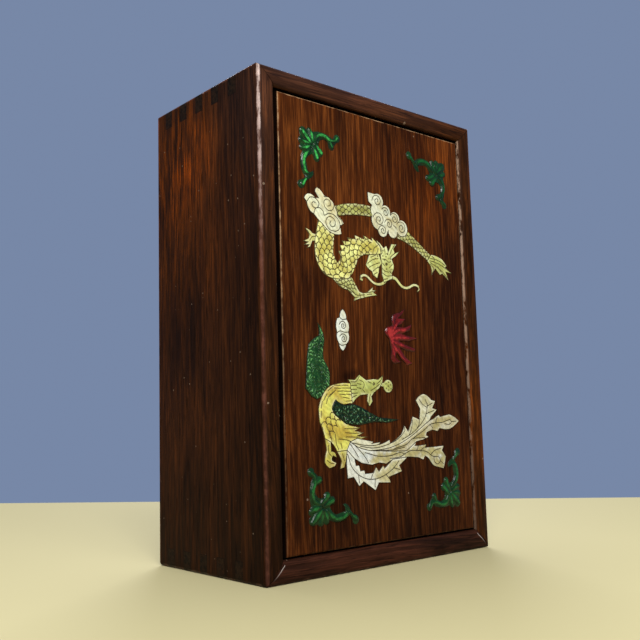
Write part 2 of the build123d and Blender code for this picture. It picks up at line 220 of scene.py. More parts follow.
def addLamps(lamps):
    # Square soft lamps, each turned from its place towards its aim
    for name, look in lamps.items():
        data = bpy.data.lights.new(name, "AREA")
        data.shape = "SQUARE"
        data.size = look["size"]
        data.energy = look["power"]
        lamp = bpy.data.objects.new(name, data)
        lamp.location = look["place"]
        aim = Vector(look["aim"]) - Vector(look["place"])
        lamp.rotation_euler = aim.to_track_quat("-Z", "Y").to_euler()
        bpy.context.scene.collection.objects.link(lamp)


worldSet = {"seen": (0.185, 0.245, 0.385), "light": (0.62, 0.66, 0.72), "strength": 0.26}
floorSet = {"turn": -51.9, "farEdge": 0.366, "nearEdge": -1.5, "halfLength": 1.7,
            "colour": (0.50, 0.445, 0.235), "roughness": 0.85}


def addWorld(look):
    # A blue-grey backdrop where the camera and reflections see it, and a plain soft light elsewhere
    world = bpy.data.worlds.new("studioWorld")
    world.use_nodes = True
    path = put(world.node_tree, "ShaderNodeLightPath", {}).outputs
    seen = maths("MAXIMUM", path["Is Camera Ray"], path["Is Glossy Ray"])
    seen = maths("MAXIMUM", seen, path["Is Transmission Ray"])
    light = [part * look["strength"] for part in look["light"]]
    fill(world.node_tree.nodes["Background"], {"Color": blend(seen, light, look["seen"])})
    bpy.context.scene.world = world


def addFloor(look):
    # A table top at the height of the box's end, with its far edge a little behind the box. It goes
    # with the lid, because in the open pose the box is lifted off the lid, whose end rail stays on it.
    turn = math.radians(look["turn"])
    along = np.array([math.cos(turn), math.sin(turn), 0]) * look["halfLength"]
    out = np.array([-math.sin(turn), math.cos(turn), 0])
    near, far = out * look["nearEdge"], out * look["farEdge"]
    mesh = bpy.data.meshes.new("floor")
    mesh.from_pydata([near - along, near + along, far + along, far - along], [], [(0, 1, 2, 3)])
    floor = bpy.data.objects.new("floor", mesh)
    bpy.context.scene.collection.objects.link(floor)
    material = bpy.data.materials.new("paleFloor")
    material.use_nodes = True
    shader = material.node_tree.nodes["Principled BSDF"]
    fill(shader, {"Base Color": look["colour"], "Roughness": look["roughness"]})
    mesh.materials.append(material)
    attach(floor, "lid")


bpy.context.scene.view_settings.view_transform = "Standard"
addCamera(cameraSet)
addLamps(lampSet)
addWorld(worldSet)
addFloor(floorSet)
print("camera, lamps and floor made")


# Effects shared by the boards: scales are noise cells in a metre, with the grain along the third number

grainSet = {"bend": (9, 9, 3.5), "bendReach": (0.02, 0.02, 0.02), "patches": (22, 22, 9),
            "bands": (95, 95, 7), "mottle": (420, 420, 24), "flecks": (1250, 1250, 40),
            "pores": (820, 820, 60), "poreColour": (0.0045, 0.0022, 0.0015), "shade": (0.80, 1.22),
            "roughness": (0.34, 0.5)}


def makeRosewoodGrain(look):
    # Rosewood with its grain along the vector's Z: broad patches and narrower bands of the dark and middle
    # tones, short light flecks and short dark pores, each a noise stretched along the grain on a slightly
    # bent vector
    given, leave = newGroup("rosewoodGrain", "Vector", "Dark Middle Light", "Flecks Pores",
                            "Color Roughness Height")
    place = stretched(given["Vector"], look["bend"])
    slow = put(leave.id_data, "ShaderNodeTexNoise", {"Vector": place, "Scale": 1.0}).outputs["Color"]
    push = vectors("MULTIPLY", vectors("SUBTRACT", slow, (0.5, 0.5, 0.5))[0], look["bendReach"])[0]
    bent = vectors("ADD", given["Vector"], push)[0]
    patches = noise(bent, look["patches"], 2.0, 0.5)
    bands = noise(bent, look["bands"], 5.0, 0.65)
    tone = plus(times(patches, 0.6), times(bands, 0.4))
    mottle = noise(bent, look["mottle"], 3.0, 0.6)
    flecks = noise(bent, look["flecks"], 3.0, 0.6)
    lit = smooth(plus(times(flecks, 0.6), times(mottle, 0.4)), 0.45, 0.64)
    lit = times(lit, given["Flecks"], smooth(tone, 0.35, 0.75, 0.35, 1.0))
    pores = times(smooth(noise(bent, look["pores"], 2.0), 0.56, 0.66), given["Pores"])
    colour = blend(smooth(tone, 0.38, 0.62), given["Dark"], given["Middle"])
    colour = shaded(blend(lit, colour, given["Light"]), smooth(mottle, 0.32, 0.68, *look["shade"]))
    colour = blend(times(pores, 0.8), colour, look["poreColour"])
    rough = plus(smooth(mottle, 0.3, 0.7, *look["roughness"]), times(pores, 0.25))
    height = plus(minus(times(lit, 0.3), pores), mottle)
    return give(leave, Color=colour, Roughness=rough, Height=height)


edgeBandSet = {"ragged": 170.0, "solid": 0.35}  # noise cells in a metre, and the share of the width at full strength


def makeEdgeWear(look):
    # Band along the edges of a block, for worn edges and for the painted highlights on arrises and rims. For
    # each pair of axes, the distance to their edge is the root of the summed squares of the two distances to
    # the faces; the least of the three is compared with a width that a noise varies
    given, leave = newGroup("edgeWear", "Vector Centre Half", "", "Width Ragged", "Wear")
    offset = vectors("SUBTRACT", given["Vector"], given["Centre"])[0]
    inset = vectors("SUBTRACT", given["Half"], vectors("ABSOLUTE", offset)[0])[0]
    x, y, z = [times(part, part) for part in axesOf(inset)]
    distance = maths("SQRT", maths("MINIMUM", maths("MINIMUM", plus(x, y), plus(y, z)), plus(x, z)))
    ragged = smooth(noise(given["Vector"], look["ragged"], 4.0, 0.6), 0.3, 0.7, -1.0, 1.0)
    width = times(given["Width"], plus(times(ragged, given["Ragged"]), 1.0))
    return give(leave, Wear=fading(maths("DIVIDE", distance, width), look["solid"], 1.0))


# Specks: cells in a metre, channel that chooses among them, share left bare, and largest size in a cell
marksSet = {"specks": ((115.0, 0, 0.88, 0.11), (330.0, 1, 0.90, 0.17)), "scratches": (700, 700, 22),
            "scratchTurn": (0.12, 0.1, 0), "scratchWidth": 0.006, "scratchPatches": 45.0}


def makeHandlingMarks(look):
    # Small pale specks at scattered cell points, and thin scratches where a stretched noise is at its middle
    given, leave = newGroup("handlingMarks", "Vector", "", "", "Specks Scratches")
    specks = []
    for scale, channel, bare, size in look["specks"]:
        inputs = {"Vector": given["Vector"], "Scale": scale, "Randomness": 1.0}
        cells = put(leave.id_data, "ShaderNodeTexVoronoi", inputs).outputs
        chosen = put(leave.id_data, "ShaderNodeSeparateColor", {0: cells["Color"]}).outputs[channel]
        specks.append(maths("LESS_THAN", cells["Distance"], smooth(chosen, bare, 1.0, 0.0, size)))
    lines = noise(stretched(given["Vector"], look["scratches"], turn=look["scratchTurn"]), 1.0, 2.0)
    thin = fading(maths("ABSOLUTE", minus(lines, 0.5)), 0.0, look["scratchWidth"])
    patchy = smooth(noise(given["Vector"], look["scratchPatches"], 2.0), 0.56, 0.7)
    return give(leave, Specks=maths("MAXIMUM", *specks), Scratches=times(thin, patchy))


# Corner joints: tails from the sides' inner to their outer face, with the mitre ahead of them
jointSet = {"middle": 0.14, "foot": 0.129, "inner": 0.078, "outer": 0.09, "rootHalf": 0.0028,
            "tailHalf": 0.00365, "firstTail": -0.0292, "pitch": 0.0173, "mitreBack": -0.036, "line": 0.00035,
            "mitreAcross": 0.676, "mitreUp": 0.737, "overrun": 0.0004, "brightShift": 0.0007,
            "brightEnd": (0.0795, 0.0865)}


def makeJointLines(look):
    # Fine dark lines of the corner joints. A tail's outline is where the larger of (distance from its middle
    # less its half width) and (tail's foot less the height from the box's middle) is near nought; the mitre
    # is a sloping line with a bright one beside it
    given, leave = newGroup("jointLines", "Vector", "", "", "Line Bright")
    x, y, z = axesOf(given["Vector"])
    across = maths("ABSOLUTE", x)
    height = maths("ABSOLUTE", minus(z, look["middle"]))
    half = smooth(across, look["inner"], look["outer"], look["rootHalf"], look["tailHalf"])
    repeat = maths("PINGPONG", minus(y, look["firstTail"]), look["pitch"] / 2)
    tail = maths("ABSOLUTE", maths("MAXIMUM", minus(repeat, half), minus(look["foot"], height)))
    behind = maths("GREATER_THAN", y, look["mitreBack"])
    ahead = minus(1.0, behind)
    outside = maths("GREATER_THAN", across, look["inner"])
    slope = minus(times(minus(across, look["inner"]), look["mitreAcross"]),
                  times(minus(height, look["foot"]), look["mitreUp"]))
    mitre = times(fading(maths("ABSOLUTE", slope), 0.0, look["line"]), ahead)
    line = times(maths("MAXIMUM", times(fading(tail, 0.0, look["line"]), behind), mitre), outside)
    line = times(line, maths("GREATER_THAN", height, look["foot"] - look["overrun"]))
    bright = fading(maths("ABSOLUTE", plus(slope, look["brightShift"])), 0.0, look["line"])
    bright = times(bright, outside, ahead, fading(across, *look["brightEnd"]))
    return give(leave, Line=line, Bright=bright)


jointLines = makeJointLines(jointSet)
rosewoodGrain = makeRosewoodGrain(grainSet)
edgeWear = makeEdgeWear(edgeBandSet)
handlingMarks = makeHandlingMarks(marksSet)


# Rosewood of the boards

quarterTurn = math.pi / 2
boxEdges = {"Centre": (0, 0, 0.14), "Half": (0.09, 0.054, 0.14)}
frontEdges = {"Centre": (0, 0, 0.14), "Half": (0.09, 0.054, 9.0)}  # so tall that only upright arrises count
fieldEdges = {"Centre": (0, 0, 0.1401), "Half": (0.076, 0.0528, 0.1267)}
darkWood = {"Dark": (0.0110, 0.0043, 0.0018), "Middle": (0.030, 0.0098, 0.0032),
            "Light": (0.090, 0.026, 0.0065), "Flecks": 0.55, "Pores": 0.7}
railWood = {"Dark": (0.0130, 0.0054, 0.0034), "Middle": (0.034, 0.0115, 0.0062),
            "Light": (0.090, 0.026, 0.0140), "Flecks": 0.6, "Pores": 0.8}
panelWood = {"Dark": (0.019, 0.0052, 0.0018), "Middle": (0.050, 0.0128, 0.0030),
             "Light": (0.165, 0.048, 0.0090), "Flecks": 0.72, "Pores": 0.5}
# Dark, warm and bluish spots are soft and round: each has its middle, its reach and how strongly it tints.
# The bluish ones are a painted sheen, a reflection of the backdrop; some dark and warm ones are painted
# shade and light, noted where they stand
spotTints = {"dark": (0.40, 0.40, 0.52), "warm": (3.3, 2.5, 0.95), "bluishSheen": (1.25, 1.55, 2.9)}
rosewoodSet = {
    "left_side_board": {
        "wood": darkWood, "shift": (0.31, 0.12, 0.05),
        "dark": [((-0.09, 0.04, 0.0), 0.085, 0.35)],
        # Painted light: the last warm spot, at the stile's top, is a sheen that also lights the side's right
        # part, and the bluish spots below are a painted reflection
        "warm": [((-0.09, 0.05, 0.262), 0.080, 0.9), ((-0.09, 0.012, 0.248), 0.040, 0.3),
                 ((-0.09, 0.04, 0.19), 0.085, 0.55), ((-0.086, -0.052, 0.225), 0.060, 0.3)],
        "bluishSheen": [((-0.082, -0.053, 0.262), 0.055, 1.0), ((-0.084, -0.053, 0.21), 0.050, 0.5)],
    },
    "right_side_board": {"wood": darkWood, "shift": (1.73, 0.42, 0.65), "innerWear": 0.75,
                         "warm": [((0.08, -0.053, 0.12), 0.16, 0.5)]},
    # Painted reflection: the bluish spots on the rail's front are a sheen of the backdrop
    "top_end_board": {"wood": darkWood, "shift": (0.95, 0.81, 0.33), "turn": quarterTurn, "endGrain": 0.9,
                      "bluishSheen": [((-0.065, -0.053, 0.276), 0.075, 1.0), ((0.02, -0.053, 0.276), 0.070, 0.6)]},
    "lower_end_board": {"wood": darkWood, "shift": (1.95, 1.81, 1.33), "turn": quarterTurn,
                        "endGrain": 0.85},
    "back_board": {"wood": panelWood, "shift": (2.55, 0.21, 0.93)},
    "lid_end_rail": {"wood": railWood, "shift": (3.15, 2.21, 0.13), "turn": quarterTurn},
    "lid_panel": {
        "wood": panelWood, "shift": (0.55, 0.37, 0.27), "edges": fieldEdges,
        # Painted shade: the three large dark spots darken the field towards the lower left, the bottom and
        # the right, and the warm spot is painted light at the top. The four small dark spots darken the wood
        # by the phoenix's head and legs
        "dark": [((-0.0315, -0.053, 0.1078), 0.0055, 1.0), ((-0.0275, -0.053, 0.1088), 0.0055, 1.0),
                 ((-0.0235, -0.053, 0.1104), 0.0050, 1.0), ((-0.0410, -0.053, 0.0625), 0.0055, 1.0),
                 ((-0.058, -0.053, 0.055), 0.060, 0.75), ((0.02, -0.053, 0.01), 0.085, 0.75),
                 ((0.078, -0.053, 0.10), 0.105, 1.0)],
        "warm": [((0.045, -0.053, 0.235), 0.055, 0.35)],
    },
}
# Colours of the wear and of the painted shade and highlights, and where they lie: metres in x for the end
# faces and the slope, in y for the gap's front and back, in z for what changes towards the top, and noise
# cells in a metre for streaks and the like
wearAndLightSet = {
    "edge": {"Width": 0.0017, "Ragged": 0.4}, "edgeStrength": 0.5, "edgeColour": (0.16, 0.058, 0.034),
    "arris": {"Width": 0.0026, "Ragged": 0.07}, "arrisLow": (0.125, 0.042, 0.027),
    "arrisHighlight": (0.66, 0.50, 0.46),
    "rim": {"Width": 0.0009, "Ragged": 0.35}, "rimHighlightColour": (0.38, 0.23, 0.12),
    "slopeHighlightColour": (0.36, 0.235, 0.165), "gapShadeColour": (0.0035, 0.0020, 0.0015),
    "lineColour": (0.004, 0.0022, 0.0015), "brightColour": (0.42, 0.36, 0.34),
    "endColours": ((0.0055, 0.0042, 0.0028), (0.019, 0.0105, 0.0055)),
    "scratchColour": (0.12, 0.065, 0.04), "speckColour": (0.24, 0.17, 0.12),
    "spotPatches": (420, 420, 50), "endFace": (0.0889, 0.0895), "endPatches": 160.0, "endBlotches": 420.0,
    "frameGapFront": -0.0514, "panelGapFront": -0.0526, "gapRise": 0.0009, "gapBack": (-0.0480, -0.0474),
    "openingHalf": (0.0815, 0.1325), "streaks": (420, 420, 90), "streakTop": 0.25,
    "highlightHeight": (0.16, 0.282), "coreWear": (0.10, 0.44), "rimHeight": (0.04, 0.25),
    "rimFace": (-0.0526, -0.0521), "dashes": (300, 300, 130), "slopeFace": (0.0783, 0.0790),
    "slopeHeight": (0.03, 0.2), "slopeDepth": (-0.0511, -0.0507),
}
woodGloss = {"bump": 0.3, "bumpDepth": 0.00012, "coatRoughness": 0.24, "reflection": 0.025}


def gapShade(parts, front, look):
    # Painted shade in the gap round the field, on the inner slopes of the frame and the field's own walls:
    # a depth range behind the front, within the frame's opening
    x, y, z = parts
    gap = times(smooth(y, front, front + look["gapRise"], 0.0, 0.95), fading(y, *look["gapBack"]))
    halfWide, halfTall = look["openingHalf"]
    gap = times(gap, maths("LESS_THAN", maths("ABSOLUTE", x), halfWide))
    return times(gap, maths("LESS_THAN", maths("ABSOLUTE", minus(z, jointSet["middle"])), halfTall))


def arrisWearAndHighlight(place, parts, look):
    # The front's long arrises are rubbed most, and carry a painted highlight: the strength is the edge band
    # times a streaky noise that grows towards the top, where the light falls strongest. Gives it and the
    # tone, a pale painted highlight at the top and a reddish worn tone lower down
    front = useGroup(edgeWear, place, {**look["arris"], **frontEdges})["Wear"]
    front = times(front, maths("LESS_THAN", parts[1], 0.0))
    streaks = smooth(noise(place, look["streaks"], 5.0, 0.7), 0.38, 0.60, 0.40, 1.0)
    front = times(front, times(streaks, smooth(parts[2], 0.0, look["streakTop"], 0.5, 1.0)))
    # Painted highlight: a pale core where the band is strong, towards the top
    highlight = times(smooth(parts[2], *look["highlightHeight"]), smooth(front, *look["coreWear"]))
    return front, blend(highlight, look["arrisLow"], look["arrisHighlight"])


def makeRosewood(name, board, look):
    # The grain, and over it one tone after another: soft spots (some of them painted shade, light and
    # sheen), rubbed edges, end grain, joint lines, the gap's painted shade, the arrises' wear and painted
    # highlight, the field's rim and its painted highlight, the inner slope's painted highlight and the
    # marks. Each is blended in by a mask
    material, shader, place = startMaterial(name + "_finish")
    parts = axesOf(place)
    turn = (0, board.get("turn", 0), 0)
    grain = useGroup(rosewoodGrain, stretched(place, (1, 1, 1), board["shift"], turn), board["wood"])
    colour = grain["Color"]
    uneven = smooth(noise(place, look["spotPatches"], 3.0, 0.65), 0.36, 0.64, 0.3, 1.35)
    for kind, tint in spotTints.items():
        for middle, reach, strength in board.get(kind, []):
            distance = vectors("DISTANCE", place, middle)["Value"]
            spot = times(fading(distance, 0.0, reach), strength)
            spot = times(spot, uneven) if kind == "warm" else spot
            colour = blend(spot, colour, tinted(colour, tint))
    wear = useGroup(edgeWear, place, {**look["edge"], **boxEdges})["Wear"]
    colour = blend(times(wear, look["edgeStrength"]), colour, look["edgeColour"])
    joints = useGroup(jointLines, place, {})
    if "endGrain" in board:
        cutEnd = smooth(maths("ABSOLUTE", parts[0]), *look["endFace"], 0.0, board["endGrain"])
        cutEnd = times(cutEnd, smooth(noise(place, look["endPatches"], 3.0), 0.3, 0.6, 0.72, 1.0))
        blotches = smooth(noise(place, look["endBlotches"], 4.0, 0.7), 0.38, 0.62)
        colour = blend(cutEnd, colour, blend(blotches, *look["endColours"]))
    if name != "lid_panel":
        colour = blend(times(joints["Line"], 0.8), colour, look["lineColour"])
    gapFront = look["panelGapFront" if "edges" in board else "frameGapFront"]
    colour = blend(gapShade(parts, gapFront, look), colour, look["gapShadeColour"])
    front, wornAndLitTone = arrisWearAndHighlight(place, parts, look)
    colour = blend(front, colour, wornAndLitTone)
    if "edges" in board:
        # Painted highlight, with some wear, along the field's rim: on its front face, stronger towards the
        # top
        rim = useGroup(edgeWear, place, {**look["rim"], **board["edges"]})["Wear"]
        rim = times(rim, smooth(parts[2], *look["rimHeight"], 0.12, 0.9), fading(parts[1], *look["rimFace"]))
        colour = blend(rim, colour, look["rimHighlightColour"])
    if "innerWear" in board:
        # Painted highlight in worn dashes on the right stile's inner slope, stronger towards the top
        dashes = smooth(noise(place, look["dashes"], 3.0, 0.6), 0.40, 0.56)
        slope = times(fading(parts[0], *look["slopeFace"]), smooth(parts[2], *look["slopeHeight"], 0.3, 1.0))
        slope = times(dashes, times(slope, fading(parts[1], *look["slopeDepth"])), board["innerWear"])
        colour = blend(slope, colour, look["slopeHighlightColour"])
    marks = useGroup(handlingMarks, place, {})
    colour = blend(times(marks["Scratches"], 0.25), colour, look["scratchColour"])
    colour = blend(times(marks["Specks"], 0.5), colour, look["speckColour"])
    if name == "lid_end_rail":
        colour = blend(times(joints["Bright"], 0.8), colour, look["brightColour"])
    coat = smooth(maths("MAXIMUM", wear, front), 0.0, 1.0, 0.0, 0.35)
    finishMaterial(shader, grain, colour, {**woodGloss, "coat": coat})
    return material


for boardName, board in rosewoodSet.items():
    finish = makeRosewood(boardName, board, wearAndLightSet)
    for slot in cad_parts[boardName].material_slots:
        slot.material = finish
print("rosewood finished")


# Inlays: relief over each plate's own outline, with its engraved lines cut in. All sizes in millimetres:
# rings and the even grid start so far inside the outline, cuts and their banks keep clear of other points

lidSet = {"drawingLeft": -89.9, "field": -52.8, "seat": 0.8}
reliefSet = {"border": 0.34, "grid": 0.36, "rings": (0.16, 0.38), "gridStart": 0.58, "cutStart": 0.14,
             "cutHalf": 0.32, "cutDepth": 0.2, "cutClear": 1.75, "bankClear": 0.85, "merge": 0.09,
             "grimeWidth": 0.32, "rimWidth": 0.24, "edgeWidth": 0.8, "jointWidth": 0.45, "jointRise": 0.03,
             "jointDepth": 0.1, "sharpAngle": 52}


def lengthsAlong(line):
    # Way along the line at each of its points
    return np.concatenate([[0], np.cumsum(np.linalg.norm(np.diff(line, axis=0), axis=1))])


def leftOf(along):
    # Unit vectors a quarter turn to the left of the given ones
    across = np.stack([-along[:, 1], along[:, 0]], axis=1)
    return across / np.maximum(np.linalg.norm(across, axis=1), 1e-9)[:, None]


def smoothLine(points, step=0.3):
    # Catmull-Rom curve through the points, sampled about every step millimetres
    points = np.asarray(points, float)
    if len(points) == 2:
        count = max(2, int(np.ceil(np.linalg.norm(points[1] - points[0]) / step)) + 1)
        return points[0] + np.linspace(0, 1, count)[:, None] * (points[1] - points[0])
    ends = np.concatenate([[2 * points[0] - points[1]], points, [2 * points[-1] - points[-2]]])
    share = np.linspace(0, 1, 13)[:-1, None, None]
    before, start, end, after = ends[:-3], ends[1:-2], ends[2:-1], ends[3:]
    curve = 0.5 * (2 * start + (end - before) * share
                   + (2 * before - 5 * start + 4 * end - after) * share ** 2
                   + (3 * start - before - 3 * end + after) * share ** 3)
    curve = np.concatenate([curve.transpose(1, 0, 2).reshape(-1, 2), points[-1:]])
    lengths = lengthsAlong(curve)
    places = np.linspace(0, lengths[-1], max(2, int(lengths[-1] / step) + 1))
    return np.stack([np.interp(places, lengths, curve[:, axis]) for axis in (0, 1)], axis=1)


def asSegments(lines):
    # Start and end of each side of the lines
    return np.concatenate([np.stack([line[:-1], line[1:]], axis=1) for line in lines])


def nearestOn(points, segments):
    # Distance from each point to the nearest segment, and the share of the way along that segment's number
    starts = segments[:, 0]
    sides = segments[:, 1] - starts
    squares = np.maximum((sides ** 2).sum(1), 1e-12)
    distance, place = np.empty(len(points)), np.empty(len(points))
    for block in np.array_split(np.arange(len(points)), max(1, len(points) * len(segments) // 2000000 + 1)):
        offset = points[block, None] - starts
        share = np.clip((offset * sides).sum(-1) / squares, 0, 1)
        gap = np.linalg.norm(offset - share[..., None] * sides, axis=-1)
        least = gap.argmin(1)
        rows = np.arange(len(block))
        distance[block] = gap[rows, least]
        place[block] = least + share[rows, least]
    return distance, place


def insideOf(points, segments):
    # A point is inside where a ray to the right crosses the outline an odd number of times
    low, high = segments[:, 0], segments[:, 1]
    x, z = points[:, :1], points[:, 1:]
    crosses = (low[:, 1] > z) != (high[:, 1] > z)
    rise = np.where(high[:, 1] == low[:, 1], 1, high[:, 1] - low[:, 1])
    crossing = low[:, 0] + (z - low[:, 1]) / rise * (high[:, 0] - low[:, 0])
    return (crosses & (x < crossing)).sum(1) % 2 == 1


def sidesOf(faces):
    # The three sides of every triangle, in the way that it turns
    return np.concatenate([faces[:, [0, 1]], faces[:, [1, 2]], faces[:, [2, 0]]])


def outlineOf(nodeName):
    # Sides that only one triangle of the plate's top face has, in the drawing's millimetres
    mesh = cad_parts[nodeName].data
    places = np.empty(len(mesh.vertices) * 3)
    mesh.vertices.foreach_get("co", places)
    places = np.round(places.reshape(-1, 3) / mm, 4)
    mesh.calc_loop_triangles()
    corners = np.empty(len(mesh.loop_triangles) * 3, int)
    mesh.loop_triangles.foreach_get("vertices", corners)
    merged, index = np.unique(places, axis=0, return_inverse=True)
    faces = index.reshape(-1)[corners].reshape(-1, 3)
    top = faces[(merged[faces][:, :, 1] < merged[:, 1].min() + 0.01).all(1)]
    sides, count = np.unique(np.sort(sidesOf(top), axis=1), axis=0, return_counts=True)
    return merged[sides[count == 1]][:, :, [0, 2]] - np.array([lidSet["drawingLeft"], 0])


def finePoints(outline, step):
    # Outline with its sides divided evenly: points and the pairs that join them
    lengths = np.linalg.norm(outline[:, 1] - outline[:, 0], axis=1)
    counts = np.maximum(1, np.ceil(lengths / step).astype(int))
    pieces = [side[0] + np.linspace(0, 1, count + 1)[:, None] * (side[1] - side[0])
              for side, count in zip(outline, counts)]
    pairs = asSegments(pieces).reshape(-1, 2)
    points, index = np.unique(np.round(pairs, 4), axis=0, return_inverse=True)
    return points, index.reshape(-1, 2)


def triangulated(points, pairs, outline, outset=0.0):
    # Delaunay triangles that keep the outline's sides, turned one way: those inside it, or with an
    # outset those of a ring as wide as that outside it
    made = geometry.delaunay_2d_cdt(list(map(Vector, points.tolist())), pairs.tolist(), [], 1, 1e-6)
    places = np.array([tuple(point) for point in made[0]])
    faces = np.array([face for face in made[2] if len(face) == 3])
    middles = places[faces].mean(1)
    wanted = insideOf(middles, outline)
    if outset:
        reach = nearestOn(places, outline)[0][faces].max(1)
        wanted = ~wanted & (nearestOn(middles, outline)[0] < outset * 0.8) & (reach < outset * 1.05)
    faces = faces[wanted]
    first, second = places[faces[:, 1]] - places[faces[:, 0]], places[faces[:, 2]] - places[faces[:, 0]]
    area = first[:, 0] * second[:, 1] - first[:, 1] * second[:, 0]
    faces[area < 0] = faces[area < 0][:, ::-1]
    return places, faces[np.abs(area) > 1e-7]


def insetPoints(points, pairs, outline, inset):
    # Points of the outline moved inwards, or outwards by a negative inset, where no other side is nearer
    middles = points[pairs].mean(1)
    normal = leftOf(points[pairs[:, 1]] - points[pairs[:, 0]])
    normal *= np.where(insideOf(middles + normal * 0.01, outline), 1, -1)[:, None]
    moved = middles + normal * inset
    return moved[nearestOn(moved, outline)[0] > abs(inset) * 0.9]


def reliefPoints(outline, lines, look):
    # Outline, two rings inside it, the engraved lines with their banks, and an even staggered grid elsewhere
    border, pairs = finePoints(outline, look["border"])
    inner = [insetPoints(border, pairs, outline, inset) for inset in look["rings"]]
    low, high = outline.min((0, 1)), outline.max((0, 1))
    row = look["grid"] * 0.866  # rows of even triangles
    x, z = np.meshgrid(np.arange(low[0], high[0], look["grid"]), np.arange(low[1], high[1], row))
    x[::2] += look["grid"] / 2
    grid = np.stack([x.ravel(), z.ravel()], axis=1)
    grid = grid[insideOf(grid, outline)]
    inner.append(grid[nearestOn(grid, outline)[0] > look["gridStart"]])
    if lines:
        half, segments = look["cutHalf"], asSegments(lines)
        across = [leftOf(np.gradient(line, axis=0)) * half for line in lines]
        banks = np.concatenate([line + way * side for line, way in zip(lines, across) for side in (1, -1)])
        inner = [points[nearestOn(points, segments)[0] > half * look["cutClear"]] for points in inner]
        banks = banks[nearestOn(banks, segments)[0] > half * look["bankClear"]]
        cuts = np.concatenate([*lines, banks])
        cuts = cuts[insideOf(cuts, outline)]
        inner.insert(0, cuts[nearestOn(cuts, outline)[0] > look["cutStart"]])
    inner = np.concatenate(inner)
    first = np.unique(np.round(inner / look["merge"]), axis=0, return_index=True)[1]
    return np.concatenate([border, inner[np.sort(first)]]), border, pairs


def closedPlate(places, faces, height, under, underFaces, floorY):
    # A top at the given heights above the field, a floor turned the other way, and walls between their rims
    top = np.stack([places[:, 0], lidSet["field"] - height, places[:, 1]], axis=1)
    floor = np.stack([under[:, 0], np.full(len(under), floorY), under[:, 1]], axis=1)
    sides = sidesOf(faces)
    index, count = np.unique(np.sort(sides, axis=1), axis=0, return_inverse=True, return_counts=True)[1:]
    rim = sides[count[index.reshape(-1)] == 1]
    feet = top[rim].reshape(-1, 3)
    feet[:, 1] = floorY
    below = len(top) + len(floor) + np.arange(len(feet)).reshape(-1, 2)
    walls = np.concatenate([np.stack([rim[:, 1], rim[:, 0], below[:, 0]], axis=1),
                            np.stack([rim[:, 1], below[:, 0], below[:, 1]], axis=1)])
    return np.concatenate([top, floor, feet]), np.concatenate([faces, underFaces[:, ::-1] + len(top), walls])


def mergedPlate(places, faces, values):
    # The same plate with its doubled points joined, so that it is closed
    first, index = np.unique(np.round(places, 4), axis=0, return_index=True, return_inverse=True)[1:]
    faces = index.reshape(-1)[faces]
    whole = (faces != faces[:, [1, 2, 0]]).all(1)
    return places[first], faces[whole], {key: made[first] for key, made in values.items()}


def fillerRing(border, pairs, outline, look):
    # A narrow flat ring round the outline, nearly flush with the field, where filler closes the joint
    ring = np.concatenate([border, insetPoints(border, pairs, outline, -look["jointWidth"])])
    places, faces = triangulated(ring, pairs, outline, look["jointWidth"])
    rise = np.full(len(places), look["jointRise"])
    places, faces = closedPlate(places, faces, rise, places, faces, lidSet["field"] + look["jointDepth"])
    used = np.unique(faces)
    return places[used], np.searchsorted(used, faces)


def buildInlay(nodeName, heightOf, lines, material, look=reliefSet):
    # A relief over a plate's outline: its height above the lid's field is a function of the two drawing
    # coordinates, and walls go down from its outline to the pocket's floor. The mesh carries how deep it is
    # cut, how near an edge or a cut is, how high its ridges stand, and which part is filler
    outline = outlineOf(nodeName)
    points, border, pairs = reliefPoints(outline, lines, look)
    places, faces = triangulated(points, pairs, outline)
    depth = nearestOn(places, outline)[0]
    cut, nearCut = np.zeros(len(places)), depth
    if lines:
        fromCut = nearestOn(places, asSegments(lines))[0]
        cut = np.clip(1 - fromCut / look["cutHalf"], 0, 1)
        cut[depth < 0.05] = 0
        nearCut = np.minimum(fromCut, depth)
    height = heightOf(places, depth, outline) - look["cutDepth"] * cut
    under, underFaces = triangulated(border, pairs, outline)
    floorY = lidSet["field"] + lidSet["seat"]
    allPlaces, allFaces = closedPlate(places, faces, height, under, underFaces, floorY)
    below = np.ones(len(allPlaces) - len(places))
    hollow, crest = np.percentile(height[depth > 0.3], (55, 97))
    rimCut = np.clip(1.1 - depth / look["rimWidth"], 0, 1) * 0.9
    values = {
        "cut": np.concatenate([np.maximum(cut, rimCut), below]),
        # edge: nearness to the outline, where the shell gets its painted highlight
        "edge": np.concatenate([np.exp(-np.maximum(depth - 0.4, 0) / look["edgeWidth"]), below]),
        "grime": np.concatenate([np.exp(-nearCut / look["grimeWidth"]), below]),
        "ridge": np.concatenate([np.clip((height - hollow) / (crest - hollow), 0, 1), below * 0]),
        "joint": np.zeros(len(allPlaces)),
    }
    plate = mergedPlate(allPlaces, allFaces, values)
    ringPlaces, ringFaces = fillerRing(border, pairs, outline, look)
    ringValues = {key: np.full(len(ringPlaces), float(key == "joint")) for key in values}
    filler = mergedPlate(ringPlaces, ringFaces, ringValues)
    merged = np.concatenate([plate[0], filler[0]]) + np.array([lidSet["drawingLeft"], 0, 0])
    allFaces = np.concatenate([plate[1], filler[1] + len(plate[0])])
    mesh = bpy.data.meshes.new(nodeName + "_relief")
    mesh.from_pydata((merged * mm).tolist(), [], allFaces.tolist())
    for key in values:
        layer = mesh.attributes.new(key, "FLOAT", "POINT")
        layer.data.foreach_set("value", np.concatenate([plate[2][key], filler[2][key]]).astype(np.float32))
    mesh.polygons.foreach_set("use_smooth", np.ones(len(mesh.polygons), bool))
    mesh.set_sharp_from_angle(angle=math.radians(look["sharpAngle"]))
    mesh.materials.append(material)
    piece = bpy.data.objects.new(nodeName + "_relief", mesh)
    bpy.context.scene.collection.objects.link(piece)
    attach(piece, "lid")
    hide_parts(nodeName)


